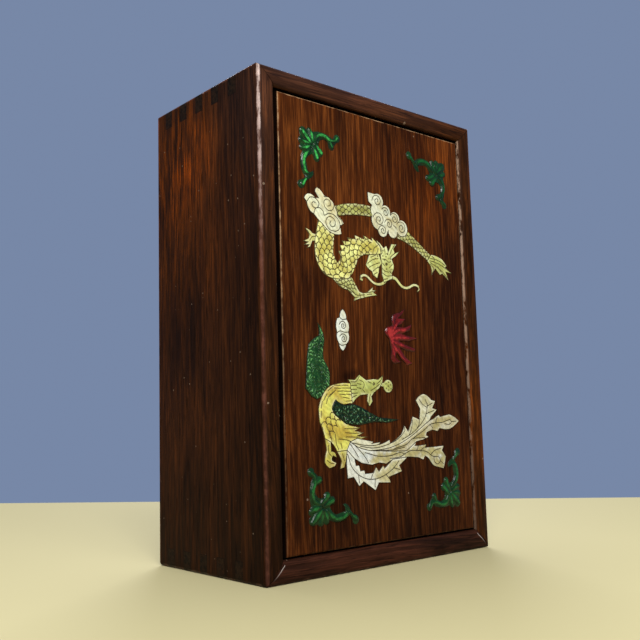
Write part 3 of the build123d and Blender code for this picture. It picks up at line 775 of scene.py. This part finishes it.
def domed(rise, swell, rounding=0.3):
    # Rounded edge that climbs within a third of a millimetre, then a slow swell towards the middle
    def heightOf(places, depth, outline):
        edge = np.sqrt(np.clip(1 - (1 - np.clip(depth / rounding, 0, 1)) ** 2, 0, 1))
        return rise * (0.45 + 0.55 * edge) + swell * (1 - np.exp(-depth / 1.6))
    return heightOf


# Engraved lines, in the drawing's millimetres

def spiralLine(x, z, radius, start, turns):
    # Radius falls from the lobe's own to a sixth of it, while the angle goes round clockwise
    share = np.linspace(0, 1, int(30 * turns) + 6)
    angle = math.radians(start) - share * turns * 2 * math.pi
    reach = radius * (1 - 0.84 * share ** 0.8)
    return np.stack([x + reach * np.cos(angle), z + reach * np.sin(angle)], axis=1)


def ringLine(x, z, radius):
    # Circle about x and z
    angle = np.linspace(0, 2 * math.pi, max(8, int(radius * 14)))
    return np.stack([x + radius * np.cos(angle), z + radius * np.sin(angle)], axis=1)


def ringLines(*rings):  # a circle for each x, z and radius
    return [ringLine(*ring) for ring in rings]


def strokeLines(*strokes):  # a smooth line through the points of each stroke
    return [smoothLine(stroke) for stroke in strokes]


def cloudLines(lobes):
    # A curl for each lobe, or its ring where it has no turns. A lobe hides the ones before it, so of each
    # line only the runs outside the later lobes are kept
    lines = []
    for number, (x, z, radius, start, turns) in enumerate(lobes):
        line = spiralLine(x, z, radius, start, turns) if turns else ringLine(x, z, radius)
        free = np.ones(len(line), bool)
        for overX, overZ, overRadius, _, _ in lobes[number + 1:]:
            free &= np.hypot(line[:, 0] - overX, line[:, 1] - overZ) > overRadius + 0.3
        edges = np.flatnonzero(np.diff(np.concatenate([[False], free, [False]]).astype(int)))
        lines += [line[low:high] for low, high in zip(edges[::2], edges[1::2]) if high - low > 1]
    return lines


def scaleLines(spine, halfWidth, pitch, wide):
    # Fish scales along a spine: rows a pitch apart, every second row shifted by half a scale, each scale a
    # half oval whose ends meet the tips of the row before it
    curve = smoothLine(spine, 0.2)
    lengths = lengthsAlong(curve)
    across = leftOf(np.gradient(curve, axis=0))
    swing = np.linspace(-math.pi / 2, math.pi / 2, 9)
    columns = int(halfWidth / wide) + 1
    lines = []
    for row in range(int(lengths[-1] / pitch)):
        places = (row + 1) * pitch - pitch * np.cos(swing) * 0.92
        index = np.interp(places, lengths, np.arange(len(curve)))
        low = np.clip(index.astype(int), 0, len(curve) - 2)
        part = (index - low)[:, None]
        spot = curve[low] * (1 - part) + curve[low + 1] * part
        for column in range(-columns, columns + 1):
            sideways = (column + 0.5 * (row % 2)) * wide + wide / 2 * np.sin(swing)
            lines.append(spot + across[low] * sideways[:, None])
    return lines


bodySpine = [(47, 196), (45.4, 187), (45.4, 178.5), (48.6, 171.6), (55, 168.6), (61.4, 170.6), (64.2, 176),
             (67, 181.6), (72.6, 185.6), (79.4, 186.4), (85, 186.6)]
engravedSet = {
    "left_cloud": strokeLines(
        [(33.2, 206.4), (35.6, 209.2), (39.6, 209.2), (42, 206.6), (40.8, 204), (38.2, 203.6),
         (36.8, 205.2), (37.6, 206.8), (39.2, 206.6)],
        [(46.2, 211.2), (50, 211.2), (53.4, 208.4), (52.6, 204.6), (49.4, 203.4), (46.4, 205.2),
         (46, 208.4), (48.2, 210), (50.6, 208.8), (50.6, 206.6), (48.9, 206)],
        [(38.2, 200.6), (39.4, 203.2), (42.4, 204), (45, 202.4), (46, 200.2), (49.6, 201.8), (54.4, 200.8),
         (57.6, 197), (57, 193.4), (53.6, 191.6)],
        [(53.6, 191.8), (49.6, 192.4), (47, 195.6), (47.8, 198.8), (50.8, 200), (53.8, 198.2),
         (53.8, 195.2), (51.4, 194.2), (49.8, 195.8), (50.8, 197.4)],
        [(57, 200.4), (59, 199), (59.6, 197)]),
    "small_cloud": [spiralLine(57.7, 137.4, 2.9, 170, 1.6), spiralLine(57.9, 129.9, 3.1, 150, 1.6)]
    + strokeLines(
        [(53.2, 133.2), (55.4, 134.2), (58.6, 133.6), (61.8, 133.8)],
        [(55.2, 142), (57.6, 140.8), (60.6, 141.4)], [(54.2, 127), (56.4, 126), (60, 126.8)]),
    "dragon_arch": scaleLines([(53, 203.4), (66, 206.8), (76, 207.8), (90, 207.6)], 4, 2.7, 3.3),
    "dragon_tail": scaleLines([(104, 199), (117, 194.4), (126, 189.2), (137, 183)], 4.5, 2.3, 2.7),
    "dragon_body": scaleLines(bodySpine, 6.8, 3.0, 3.9) + strokeLines([(57.6, 181.6), (60.6, 181.2)],
        [(60.4, 185), (63, 183.6)], [(64.2, 188), (66.4, 186)], [(68.8, 190.4), (70.6, 188)],
        [(74.2, 191.8), (75, 189)], [(80.4, 192), (80, 189.2)], [(83.6, 181.6), (84.4, 185), (87.8, 187.6)],
        [(86.8, 182.2), (88.2, 185.4)]),
    "dragon_tail_tuft": strokeLines([(134.6, 184.6), (141.6, 184), (148.6, 181.6)],
        [(134.4, 183), (142, 181.8), (148.6, 179.6), (153, 177.6)],
        [(134.6, 181.8), (140.6, 179.6), (146, 176.8), (150.2, 173.4)],
        [(135, 180.8), (137.6, 178), (136, 175.2)],
        [(136.4, 186.2), (138.6, 184.8), (138, 183), (136.2, 182.8)],
        [(141.6, 180), (143.6, 177.6), (145, 176.6)]),
    "dragon_hind_claw": strokeLines([(39.8, 186.8), (36.6, 186.6), (34.6, 184.4)],
        [(35, 187.4), (33.2, 189.6)]),
    "dragon_foreleg": scaleLines(
        [(51, 166), (57, 164.6), (64, 163.6), (70, 160)], 3, 2.2, 2.6) + strokeLines(
        [(54.6, 161.8), (62.8, 159.6), (69, 156), (75.6, 156.6)],
        [(66, 153.8), (70.6, 154.8)], [(77.6, 158), (81, 158.6), (84, 159.4)], [(78, 157), (81.6, 157.4)],
        [(71.4, 157), (72.4, 154.6)], [(74.4, 157.4), (75.2, 155.4)]),
    "dragon_jaw": strokeLines([(79.2, 175.8), (83, 178.2), (87.6, 179.4)],
        [(80.4, 173.6), (84.2, 175.4), (88.8, 177)], [(83.6, 171.6), (86.2, 173.4), (88.6, 174.4)],
        [(84.2, 169.6), (86.6, 170.8)],
        [(82, 179.8), (86, 181.4)]) + ringLines((85.4, 179.2, 0.3), (87.4, 181, 0.3)),
    "dragon_head": strokeLines([(91.6, 179.6), (94.2, 179.6), (96.6, 178.2), (98.4, 178.6)],
        [(91.4, 171), (94.6, 169.6), (98.6, 170)], [(88.4, 189.2), (90.6, 186.4), (91.4, 183.6)],
        [(93.6, 186), (94, 183)], [(96.8, 186.4), (96.4, 183)], [(102.6, 189.4), (100, 186.4), (98, 183)],
        [(105, 185.4), (101, 183.4), (98.4, 181.4)], [(97.2, 172.8), (98.4, 171.8), (98.2, 173.8)],
        [(91, 174), (93, 172.4), (96, 172)], [(91.6, 177), (93, 175.8)], [(99.8, 177), (98.2, 175.6)],
        [(92, 167.2), (95, 167.8)]) + ringLines((94.8, 176.8, 0.75), (94.8, 176.8, 0.2), (92, 181.6, 0.25),
         (94.6, 181.4, 0.25), (97.2, 180.6, 0.25), (97.4, 175, 0.25), (94.6, 173.8, 0.25),
         (92.2, 184.8, 0.25), (99.4, 174, 0.25), (90.4, 178.6, 0.3), (93.4, 179.2, 0.3), (95.6, 183.2, 0.3),
         (90.8, 182.8, 0.3), (98.6, 180.4, 0.3), (93, 187, 0.3)),
    "phoenix_body": scaleLines([(46.4, 88), (49.4, 84.4), (54.6, 80.2)], 4.2, 2.9, 4.0) + strokeLines(
        [(41.6, 95), (44, 98.4)], [(43.4, 93.4), (45.6, 97.4), (49, 99.6)], [(45, 100.4), (48.6, 102.6)],
        [(46, 97), (50.4, 100.6)], [(50.2, 103.4), (54, 103.2)], [(50, 101.8), (54.6, 101.6)],
        [(52.4, 100), (56.4, 100.2)], [(55.4, 103.4), (60, 103.4)], [(56, 101.8), (61.4, 101.8)],
        [(57, 100), (62, 100)], [(53.8, 98.4), (58, 98)], [(58.6, 98.4), (62.6, 98)],
        [(56.4, 96.6), (60.6, 96)], [(58.4, 94.4), (62.4, 94.6)], [(39.6, 91), (40.4, 94)],
        [(39.4, 86), (39.6, 89)], [(56.6, 79), (63, 78.8), (68, 79)],
        [(57, 76.8), (64, 76.2), (70.6, 76.4)], [(57.6, 74.4), (66, 74), (73, 74)],
        [(52, 73.4), (57, 72.8), (61, 71.8)], [(45.2, 78), (46.4, 74), (46.8, 72.4)],
        [(49.4, 76), (50, 71), (51.6, 67.6)], [(53.4, 71), (54.2, 68)]),
    "phoenix_head": strokeLines([(69.4, 106.4), (72, 105.4), (72.8, 103.4), (71.6, 101.2), (73, 99.6)],
        [(83.4, 104.6), (86, 106.2), (88, 108.6)], [(62.8, 105.4), (66.4, 105.6), (69, 108.4)],
        [(62.8, 103.2), (66.6, 103.4)], [(63, 101), (66.8, 101.2)], [(63.2, 98.8), (67.2, 99)],
        [(63.4, 96.6), (66.4, 97.6)], [(67.6, 104.4), (70, 104)], [(67.4, 102), (70, 101.6)],
        [(76.2, 92.8), (76.6, 95.6), (77.6, 98)], [(78.4, 100.6), (81.6, 102), (85, 104)],
        [(76, 105.6), (78.4, 104.8)]) + ringLines((80.6, 104.4, 0.8), (80.6, 104.4, 0.2)),
    "phoenix_comb": ringLines(*((x, z, 0.22) for x, z in ((92.4, 103.1), (94.6, 103.8), (92.8, 105.4),
         (90.6, 104.4), (90.8, 101.8), (92.8, 100.8), (94.8, 101.6)))),
    "phoenix_legs": strokeLines([(44, 70), (44.2, 66.4), (46, 64.4)], [(54.4, 65), (55.6, 61.4)],
        [(43, 62), (45.2, 60.6), (47.6, 60.2)]),
    "upper_tail_feather": strokeLines([(62.6, 70.8), (70, 69.4), (79, 68.8), (86.4, 70)],
        [(68.4, 68.8), (78, 67.4), (88, 68.4), (98, 71.4), (104.4, 75.8), (105, 78.4)],
        [(103, 71.6), (110, 74.2), (116, 77.6), (121, 81.6), (124.6, 86.2), (126, 92.6)],
        [(109, 74), (111, 77.6), (112.2, 82.6)], [(115.6, 77.4), (117.8, 80), (118.4, 84.4)],
        [(124.6, 86.4), (128.4, 87.4), (132, 88.2)], [(126, 91), (130.4, 92.8)],
        [(125.8, 90), (121.4, 92.4), (119, 95)], [(126, 91.6), (124.4, 95)]),
    "middle_tail_feather": strokeLines([(96, 66.4), (106, 68.4), (112, 71.6), (122.6, 71.8)],
        [(112, 71.8), (122, 76.4), (127.6, 79.6), (133, 80.6), (139, 80.8), (143.2, 81.8), (146.6, 82.2),
         (147.6, 80.8), (145.6, 79.4), (141.6, 79.8)], [(128, 79.6), (130, 77.6)],
        [(133, 80.8), (134.4, 83.8)], [(84, 65.8), (94, 65.6), (104, 66.8)], [(147.6, 81), (152, 81.3)]),
    "lower_tail_feather": strokeLines([(60.4, 70.4), (63.4, 66.8), (66.4, 62.8)],
        [(63.4, 70), (68, 66.2), (71.6, 62.6), (74, 59.4)],
        [(72, 65), (82, 62.6), (92, 62.4), (100, 63.8), (104.6, 62.8)],
        [(92, 60.8), (100, 61.2), (105, 63.2), (110, 64.6), (118, 64.2), (123.4, 63.4), (127.2, 61.2),
         (130, 60)], [(130, 60), (134, 59.8), (135.8, 57.4), (133.6, 55.4), (130.6, 56.8), (130, 60)],
        [(118, 64.2), (121, 65.8)], [(127.2, 61.4), (131, 63.8), (136.4, 64.8)],
        [(135.8, 57.4), (138.4, 55.4)], [(115, 64.6), (116.4, 67)]),
    "curled_tail_feather": strokeLines(
        [(58.4, 64.4), (61, 57.6), (66, 53), (72.6, 50.2), (80, 49.8), (88, 51.8), (94.4, 55.2), (99, 59)],
        [(66, 53), (66.6, 48.6)], [(79, 49.8), (78.8, 45.6)], [(88, 51.8), (91, 48.8)],
        [(75.6, 50), (78.6, 54.6)], [(94.4, 55.2), (99.6, 54)]),
    "right_cloud": cloudLines([(88.6, 215.0, 4.2, 180, 1.6), (89.8, 203.6, 4.9, 165, 1.7),
         (101.6, 197.6, 4.0, 0, 0), (95.6, 209.0, 3.4, 150, 1.5), (103.2, 206, 3.8, 150, 1.5),
         (98.2, 202, 3.6, 170, 1.5), (92.8, 197.4, 3.5, 170, 1.5), (109.2, 200.9, 4.5, 150, 1.6)]),
}


# Stone pieces: rounded strands that stand above a lower ground

def strandOf(places, width):
    # Segments of one strand, and the radius at both ends of each
    line = smoothLine(places, 0.5)
    size = np.interp(np.linspace(0, 1, len(line)), np.linspace(0, 1, len(width)), width)
    return asSegments([line]), np.stack([size[:-1], size[1:]], axis=1)


def carved(strandSet, ground, ridge):
    # Height of the highest strand over each point: ridge times the root of one less the squared share of the
    # strand's radius, above the ground, and let down to the outline
    strands = [strandOf(*strand) for strand in strandSet]

    def heightOf(places, depth, outline):
        height = np.zeros(len(places))
        for segments, radii in strands:
            distance, place = nearestOn(places, segments)
            number = np.clip(place.astype(int), 0, len(segments) - 1)
            part = place - number
            radius = radii[number, 0] * (1 - part) + radii[number, 1] * part
            crown = np.sqrt(np.clip(1 - (distance / radius) ** 2, 0, 1))
            height = np.maximum(height, crown * np.minimum(1, 0.45 + radius / 3.4))
        edge = np.sqrt(np.clip(depth / 0.9, 0, 1))
        return 0.12 + (ground + (ridge - ground) * height) * (0.25 + 0.75 * edge) - 0.12 * (1 - edge)
    return heightOf


# Each strand: the points of its middle line, and its radius at even steps along it
scrollStrands = [
    ([(8, -9), (4.6, -5.6), (1.8, -2.8)], (1.6, 2.2, 1.6)),
    ([(9.6, -8), (9, -4.6), (8, -1.6)], (1.5, 2.0, 1.3)),
    ([(7.4, -9.6), (4, -9.4), (1.2, -8.6)], (1.4, 1.7, 1.3)),
    ([(7.6, -11), (4.6, -12.6), (1.6, -13.2)], (1.4, 1.8, 1.4)),
    ([(7.4, -13.6), (3.6, -17.4), (2.6, -22.4), (4.4, -27), (8.6, -26)], (1.2, 2.0, 1.9, 1.8, 0.9)),
    ([(4.6, -29.6), (3.4, -32), (1.6, -34.4)], (1.2, 1.9, 1.7)),
    ([(11.4, -7.4), (13.6, -4), (18, -3), (22.6, -4.8), (26.4, -4.6),
     (28.4, -2.4)], (1.2, 1.7, 1.9, 1.8, 1.5, 1.6)), ([(22.6, -5.4), (24.2, -8.4)], (1.4, 1.7)),
    ([(11.6, -9.6), (14, -12), (15.8, -13.8)], (1.4, 2.0, 2.1)),
    ([(10, -11.4), (11.6, -14.6), (12.6, -17.2)], (1.3, 1.9, 1.9)),
    ([(14.6, -8), (17.4, -6.2)], (1.0, 0.9)),
]
flameStrands = [
    ([(95.4, 134), (97.6, 142), (101, 147.2), (108.6, 150.2)], (2.6, 2.4, 1.8, 0.5)),
    ([(96, 134), (100.4, 139.6), (104, 142.8), (109, 144)], (2.4, 2.0, 1.6, 0.5)),
    ([(96, 133), (102, 136.8), (108, 137.4), (114, 140)], (2.2, 2.0, 1.9, 0.5)),
    ([(96.4, 131.6), (104, 132.4), (112, 132.4), (119, 132.6)], (2.2, 2.0, 1.7, 0.5)),
    ([(97, 130), (103, 128.4), (110, 126.6), (116.6, 125.4)], (2.0, 1.9, 1.6, 0.6)),
    ([(97.4, 128), (101.4, 123.4), (106.4, 119.2), (113.4, 116.8)], (2.0, 1.9, 1.7, 0.5)),
    ([(97, 127), (98.4, 121.4), (100.6, 118.2), (104, 117.6)], (1.8, 1.8, 1.4, 0.5)),
    ([(94.6, 138), (94.4, 133.6), (96.4, 129)], (2.0, 2.8, 2.0)),
]


def turnedStrands(strands, corner, quarterTurns):
    # The scroll's strands at one corner of the lid, turned clockwise by quarter turns
    angle = -quarterTurns * math.pi / 2
    turn = np.array([[math.cos(angle), -math.sin(angle)], [math.sin(angle), math.cos(angle)]])
    return [(np.asarray(places) @ turn.T + corner, width) for places, width in strands]


def faceted(rise, cell, tilt, seed):
    # Small flat facets: each point takes the tilt of its nearest scattered centre
    def heightOf(places, depth, outline):
        rng = np.random.default_rng(seed)
        low, high = places.min(0), places.max(0)
        count = (np.ceil((high - low) / cell)).astype(int) + 1
        x, z = np.meshgrid(np.arange(count[0]), np.arange(count[1]))
        centres = np.stack([x.ravel(), z.ravel()], axis=1) + rng.uniform(-0.4, 0.4, (x.size, 2))
        centres = low + centres * cell
        slopes = rng.uniform(-tilt, tilt, (len(centres), 2))
        near = np.concatenate([np.linalg.norm(block[:, None] - centres, axis=-1).argmin(1)
                               for block in np.array_split(places, len(places) // 4000 + 1)])
        edge = np.sqrt(np.clip(depth / 0.6, 0, 1))
        return rise * (0.35 + 0.65 * edge) + ((places - centres[near]) * slopes[near]).sum(1) * edge
    return heightOf


def feathered(rise, shaft, pitch, lean, barb):
    # Wing carved with barbs: a ripple whose phase is the way along the shaft less the distance out times the
    # lean, so the barbs meet the shaft in a V. Slow sines of both coordinates bend them and vary their depth
    curve = smoothLine(shaft, 0.4)
    segments = asSegments([curve])

    def heightOf(places, depth, outline):
        distance, place = nearestOn(places, segments)
        x, z = places.T
        phase = (place * 0.4 - distance * lean) / pitch
        phase += 0.34 * np.sin(1.1 * x + 0.5 * z) + 0.26 * np.sin(0.37 * z - 1.7 * x)
        wave = np.abs((phase % 1) * 2 - 1) ** 0.8
        scallop = np.abs(((distance + place * 0.06) / 3.6 % 1) * 2 - 1)
        edge = np.sqrt(np.clip(depth / 0.8, 0, 1))
        uneven = 0.75 + 0.45 * np.sin(0.62 * z + 1.3 * x) * np.sin(0.9 * x - 0.31 * z)
        ripple = barb * uneven * (wave - 0.6) - barb * 0.7 * (scallop > 0.86)
        return rise * (0.35 + 0.65 * edge) + ripple * edge + 0.16 * np.exp(-depth / 4) * edge
    return heightOf


# Finishes of the inlays: scales are noise cells in a metre

bloomSet = {"patches": 95.0, "clouds": 420.0, "growth": 160.0, "hue": 150.0, "hueShift": (3.1, 1.7, 0.4),
            "hueTint": (0.84, 1.0, 1.12), "edges": 190.0, "edgeHighlightTone": (0.88, 0.88, 0.72), "stain": 300.0,
            "stainTint": (0.42, 0.30, 0.16)}
stoneSet = {"clouds": 130.0, "fine": 900.0, "veins": 210.0, "grimeTone": (0.008, 0.006, 0.003),
            "cutTone": (0.010, 0.006, 0.003)}


def makeShellBloom(look):
    # Shell and bone: a slow noise mixes a pale and a warm tone, a finer one clouds it, a wave bent by noise
    # gives growth lines, a painted highlight pales it near the outline where Edge is high, and dark filling
    # stands where cut is high, with a brown stain where grime is
    given, leave = newGroup("shellBloom", "Vector", "Pale Warm Filling", "Lean Cut Grime Edge",
                            "Color Roughness Height")
    place = given["Vector"]
    patches = smooth(plus(noise(place, look["patches"]), given["Lean"]), 0.38, 0.62)
    cloudy = noise(place, look["clouds"], 4.0, 0.65)
    wave = {"Vector": place, "Scale": look["growth"], "Distortion": 9.0, "Detail": 3.0, "Detail Scale": 0.7}
    growth = put(leave.id_data, "ShaderNodeTexWave", wave, bands_direction="DIAGONAL").outputs["Fac"]
    colour = blend(patches, given["Pale"], given["Warm"])
    colour = shaded(colour, smooth(plus(cloudy, times(growth, 0.22)), 0.35, 0.85, 0.8, 1.16))
    hue = noise(stretched(place, (1, 1, 1), look["hueShift"]), look["hue"], 2.0)
    colour = blend(smooth(hue, 0.5, 0.72, 0.0, 0.35), colour, tinted(colour, look["hueTint"]))
    # Painted highlight: a paler tone near the outline, where the rounded rim would catch the light
    lit = smooth(noise(place, look["edges"], 2.0), 0.42, 0.6, 0.1, 0.85)
    colour = blend(times(given["Edge"], lit), colour, blend(0.4, given["Pale"], look["edgeHighlightTone"]))
    stain = times(given["Grime"], smooth(noise(place, look["stain"], 3.0), 0.3, 0.7, 0.1, 0.55))
    colour = blend(stain, colour, tinted(colour, look["stainTint"]))
    colour = blend(smooth(given["Cut"], 0.04, 0.45, 0.0, 0.95), colour, given["Filling"])
    rough = smooth(plus(given["Cut"], times(cloudy, 0.6)), 0.2, 1.2, 0.22, 0.6)
    return give(leave, Color=colour, Roughness=rough, Height=plus(cloudy, growth))


def makeStoneBody(look):
    # Polished stone: a deep and a body tone in clouds, thin pale veins where a noise crosses its middle, a
    # painted highlight of the same pale tone on the crests where ridge is high, and the hollows darkened by
    # grime
    given, leave = newGroup("stoneBody", "Vector", "Deep Body Crest", "Ridge Cut Grime",
                            "Color Roughness Height")
    place = given["Vector"]
    clouds = noise(place, look["clouds"], 5.0, 0.65)
    fine = noise(place, look["fine"], 3.0, 0.6)
    veins = maths("ABSOLUTE", minus(noise(place, look["veins"], 5.0, 0.7), 0.5))
    colour = blend(smooth(clouds, 0.32, 0.68), given["Deep"], given["Body"])
    # Painted highlight on the ridge tops
    crest = times(smooth(given["Ridge"], 0.25, 0.95), smooth(plus(fine, clouds), 0.85, 1.15, 0.25, 1.0))
    colour = blend(crest, colour, given["Crest"])
    colour = blend(fading(veins, 0.0, 0.012, 0.15), colour, given["Crest"])
    colour = blend(times(given["Grime"], 0.6), colour, look["grimeTone"])
    colour = blend(smooth(given["Cut"], 0.2, 0.8, 0.0, 0.9), colour, look["cutTone"])
    rough = smooth(plus(fine, given["Grime"]), 0.3, 1.3, 0.16, 0.55)
    return give(leave, Color=colour, Roughness=rough, Height=fine)


shellBloom = makeShellBloom(bloomSet)
stoneBody = makeStoneBody(stoneSet)
jointFiller = (0.0045, 0.0030, 0.0022)
shellGloss = {"bump": 0.12, "bumpDepth": 0.00008, "coat": 0.1, "coatRoughness": 0.12, "reflection": 0.2}
stoneGloss = {"bump": 0.15, "bumpDepth": 0.00008, "coat": 0.35, "coatRoughness": 0.14, "reflection": 0.05}


def carriedBy(shader, name):
    # The number that the mesh carries at each point under that name
    return put(shader.id_data, "ShaderNodeAttribute", {}, attribute_name=name).outputs["Fac"]


def makeInlayFinish(name, group, tones, marks, gloss, lean=None):
    # The group with the piece's tones and its mesh's marks, and dark filler on the ring round it. Lean keeps
    # the pale tone to the left and pushes the warm one towards the right-hand tips, as on long feathers
    material, shader, place = startMaterial(name)
    inputs = {**tones, **{mark: carriedBy(shader, mark.lower()) for mark in marks.split()}}
    if lean is not None:
        inputs["Lean"] = smooth(axesOf(place)[0], -0.034, 0.002, -lean, lean * 0.5)
    made = useGroup(group, place, inputs)
    colour = blend(carriedBy(shader, "joint"), made["Color"], jointFiller)
    finishMaterial(shader, made, colour, gloss)
    return material


fillings = {"white_shell": (0.016, 0.012, 0.008), "cream_shell": (0.050, 0.038, 0.010),
            "golden_shell": (0.055, 0.036, 0.008)}
shellInlays = {  # slot, pale tone, warm tone, lean
    "left_cloud": ("white_shell", (0.57, 0.58, 0.41), (0.46, 0.40, 0.19), 0.0),
    "right_cloud": ("white_shell", (0.56, 0.57, 0.43), (0.37, 0.33, 0.17), 0.0),
    "small_cloud": ("white_shell", (0.57, 0.61, 0.56), (0.45, 0.45, 0.33), 0.0),
    "dragon_arch": ("cream_shell", (0.38, 0.40, 0.12), (0.20, 0.19, 0.035), 0.0),
    "dragon_tail": ("cream_shell", (0.38, 0.39, 0.12), (0.20, 0.19, 0.035), 0.0),
    "dragon_tail_tuft": ("cream_shell", (0.40, 0.43, 0.13), (0.28, 0.27, 0.06), 0.0),
    "dragon_body": ("cream_shell", (0.66, 0.67, 0.24), (0.42, 0.37, 0.075), 0.0),
    "dragon_hind_claw": ("cream_shell", (0.46, 0.44, 0.13), (0.33, 0.30, 0.06), 0.0),
    "dragon_foreleg": ("cream_shell", (0.45, 0.48, 0.19), (0.33, 0.33, 0.09), 0.0),
    "dragon_head": ("cream_shell", (0.60, 0.65, 0.28), (0.36, 0.37, 0.11), 0.0),
    "dragon_jaw": ("cream_shell", (0.55, 0.58, 0.23), (0.38, 0.37, 0.10), 0.0),
    "dragon_left_whisker": ("cream_shell", (0.50, 0.51, 0.20), (0.36, 0.34, 0.10), 0.0),
    "dragon_right_whisker": ("cream_shell", (0.50, 0.51, 0.20), (0.36, 0.34, 0.10), 0.0),
    "phoenix_body": ("golden_shell", (0.55, 0.53, 0.11), (0.37, 0.27, 0.040), 0.0),
    "phoenix_head": ("cream_shell", (0.42, 0.46, 0.14), (0.28, 0.29, 0.07), 0.0),
    "phoenix_comb": ("cream_shell", (0.42, 0.46, 0.14), (0.28, 0.29, 0.07), 0.0),
    "phoenix_legs": ("golden_shell", (0.40, 0.36, 0.065), (0.27, 0.20, 0.030), 0.0),
    "upper_tail_feather": ("white_shell", (0.53, 0.52, 0.39), (0.37, 0.34, 0.18), 0.1),
    "middle_tail_feather": ("white_shell", (0.50, 0.48, 0.38), (0.30, 0.25, 0.10), 0.2),
    "lower_tail_feather": ("white_shell", (0.52, 0.53, 0.49), (0.32, 0.28, 0.12), 0.3),
    "curled_tail_feather": ("white_shell", (0.53, 0.54, 0.48), (0.38, 0.34, 0.17), 0.25),
}
shellHeight = domed(rise=0.5, swell=0.16)
for nodeName, (slotName, pale, warm, lean) in shellInlays.items():
    tones = {"Pale": pale, "Warm": warm, "Filling": fillings[slotName]}
    finish = makeInlayFinish(nodeName + "_shell", shellBloom, tones, "Cut Grime Edge", shellGloss, lean)
    buildInlay(nodeName, shellHeight, engravedSet.get(nodeName, []), finish)
print("shell inlays made")


def cornerScroll(corner, turns):
    # The scroll's relief, turned by quarter turns into a corner of the lid
    return carved(turnedStrands(scrollStrands, corner, turns), ground=0.2, ridge=1.0)


scrollTones = {"Deep": (0.0020, 0.012, 0.0025), "Body": (0.0045, 0.034, 0.0065)}
# The scrolls differ only in their crests' painted highlight, brightest on the top-left one, nearest the
# light; the flame's and wings' pale crest tones are painted highlights and glints too
stoneInlays = {  # slot, relief, tones
    "top_left_corner_scroll": ("green_stone", cornerScroll((28.8, 250.4), 0),
                               {**scrollTones, "Crest": (0.045, 0.36, 0.070)}),
    "top_right_corner_scroll": ("green_stone", cornerScroll((153.4, 250.4), 1),
                                {**scrollTones, "Crest": (0.006, 0.075, 0.014)}),
    "lower_right_corner_scroll": ("green_stone", cornerScroll((153.4, 27.6), 2),
                                  {**scrollTones, "Crest": (0.008, 0.090, 0.018)}),
    "lower_left_corner_scroll": ("green_stone", cornerScroll((28.8, 27.6), 3),
                                 {**scrollTones, "Crest": (0.010, 0.110, 0.022)}),
    "red_flame": ("red_stone", carved(flameStrands, ground=0.25, ridge=1.04),
                  {"Deep": (0.045, 0.0022, 0.0018), "Body": (0.13, 0.0058, 0.0050),
                   "Crest": (0.30, 0.022, 0.021)}),
    "phoenix_left_wing": (
        "green_stone",
        feathered(rise=0.66, shaft=[(40, 136), (37, 124), (37, 110), (38.6, 98)], pitch=2.3,
                  lean=0.9, barb=0.34),
        {"Deep": (0.0030, 0.018, 0.0035), "Body": (0.008, 0.045, 0.010), "Crest": (0.14, 0.36, 0.12)}),
    "phoenix_right_wing": ("dark_green_stone", faceted(rise=0.66, cell=1.5, tilt=0.36, seed=7),
                           {"Deep": (0.0012, 0.007, 0.0016), "Body": (0.0022, 0.013, 0.0030),
                            "Crest": (0.13, 0.30, 0.14)}),
}
for nodeName, (slotName, heightOf, tones) in stoneInlays.items():
    finish = makeInlayFinish(nodeName + "_stone", stoneBody, tones, "Ridge Cut Grime", stoneGloss)
    buildInlay(nodeName, heightOf, [], finish)
print("stone inlays made")
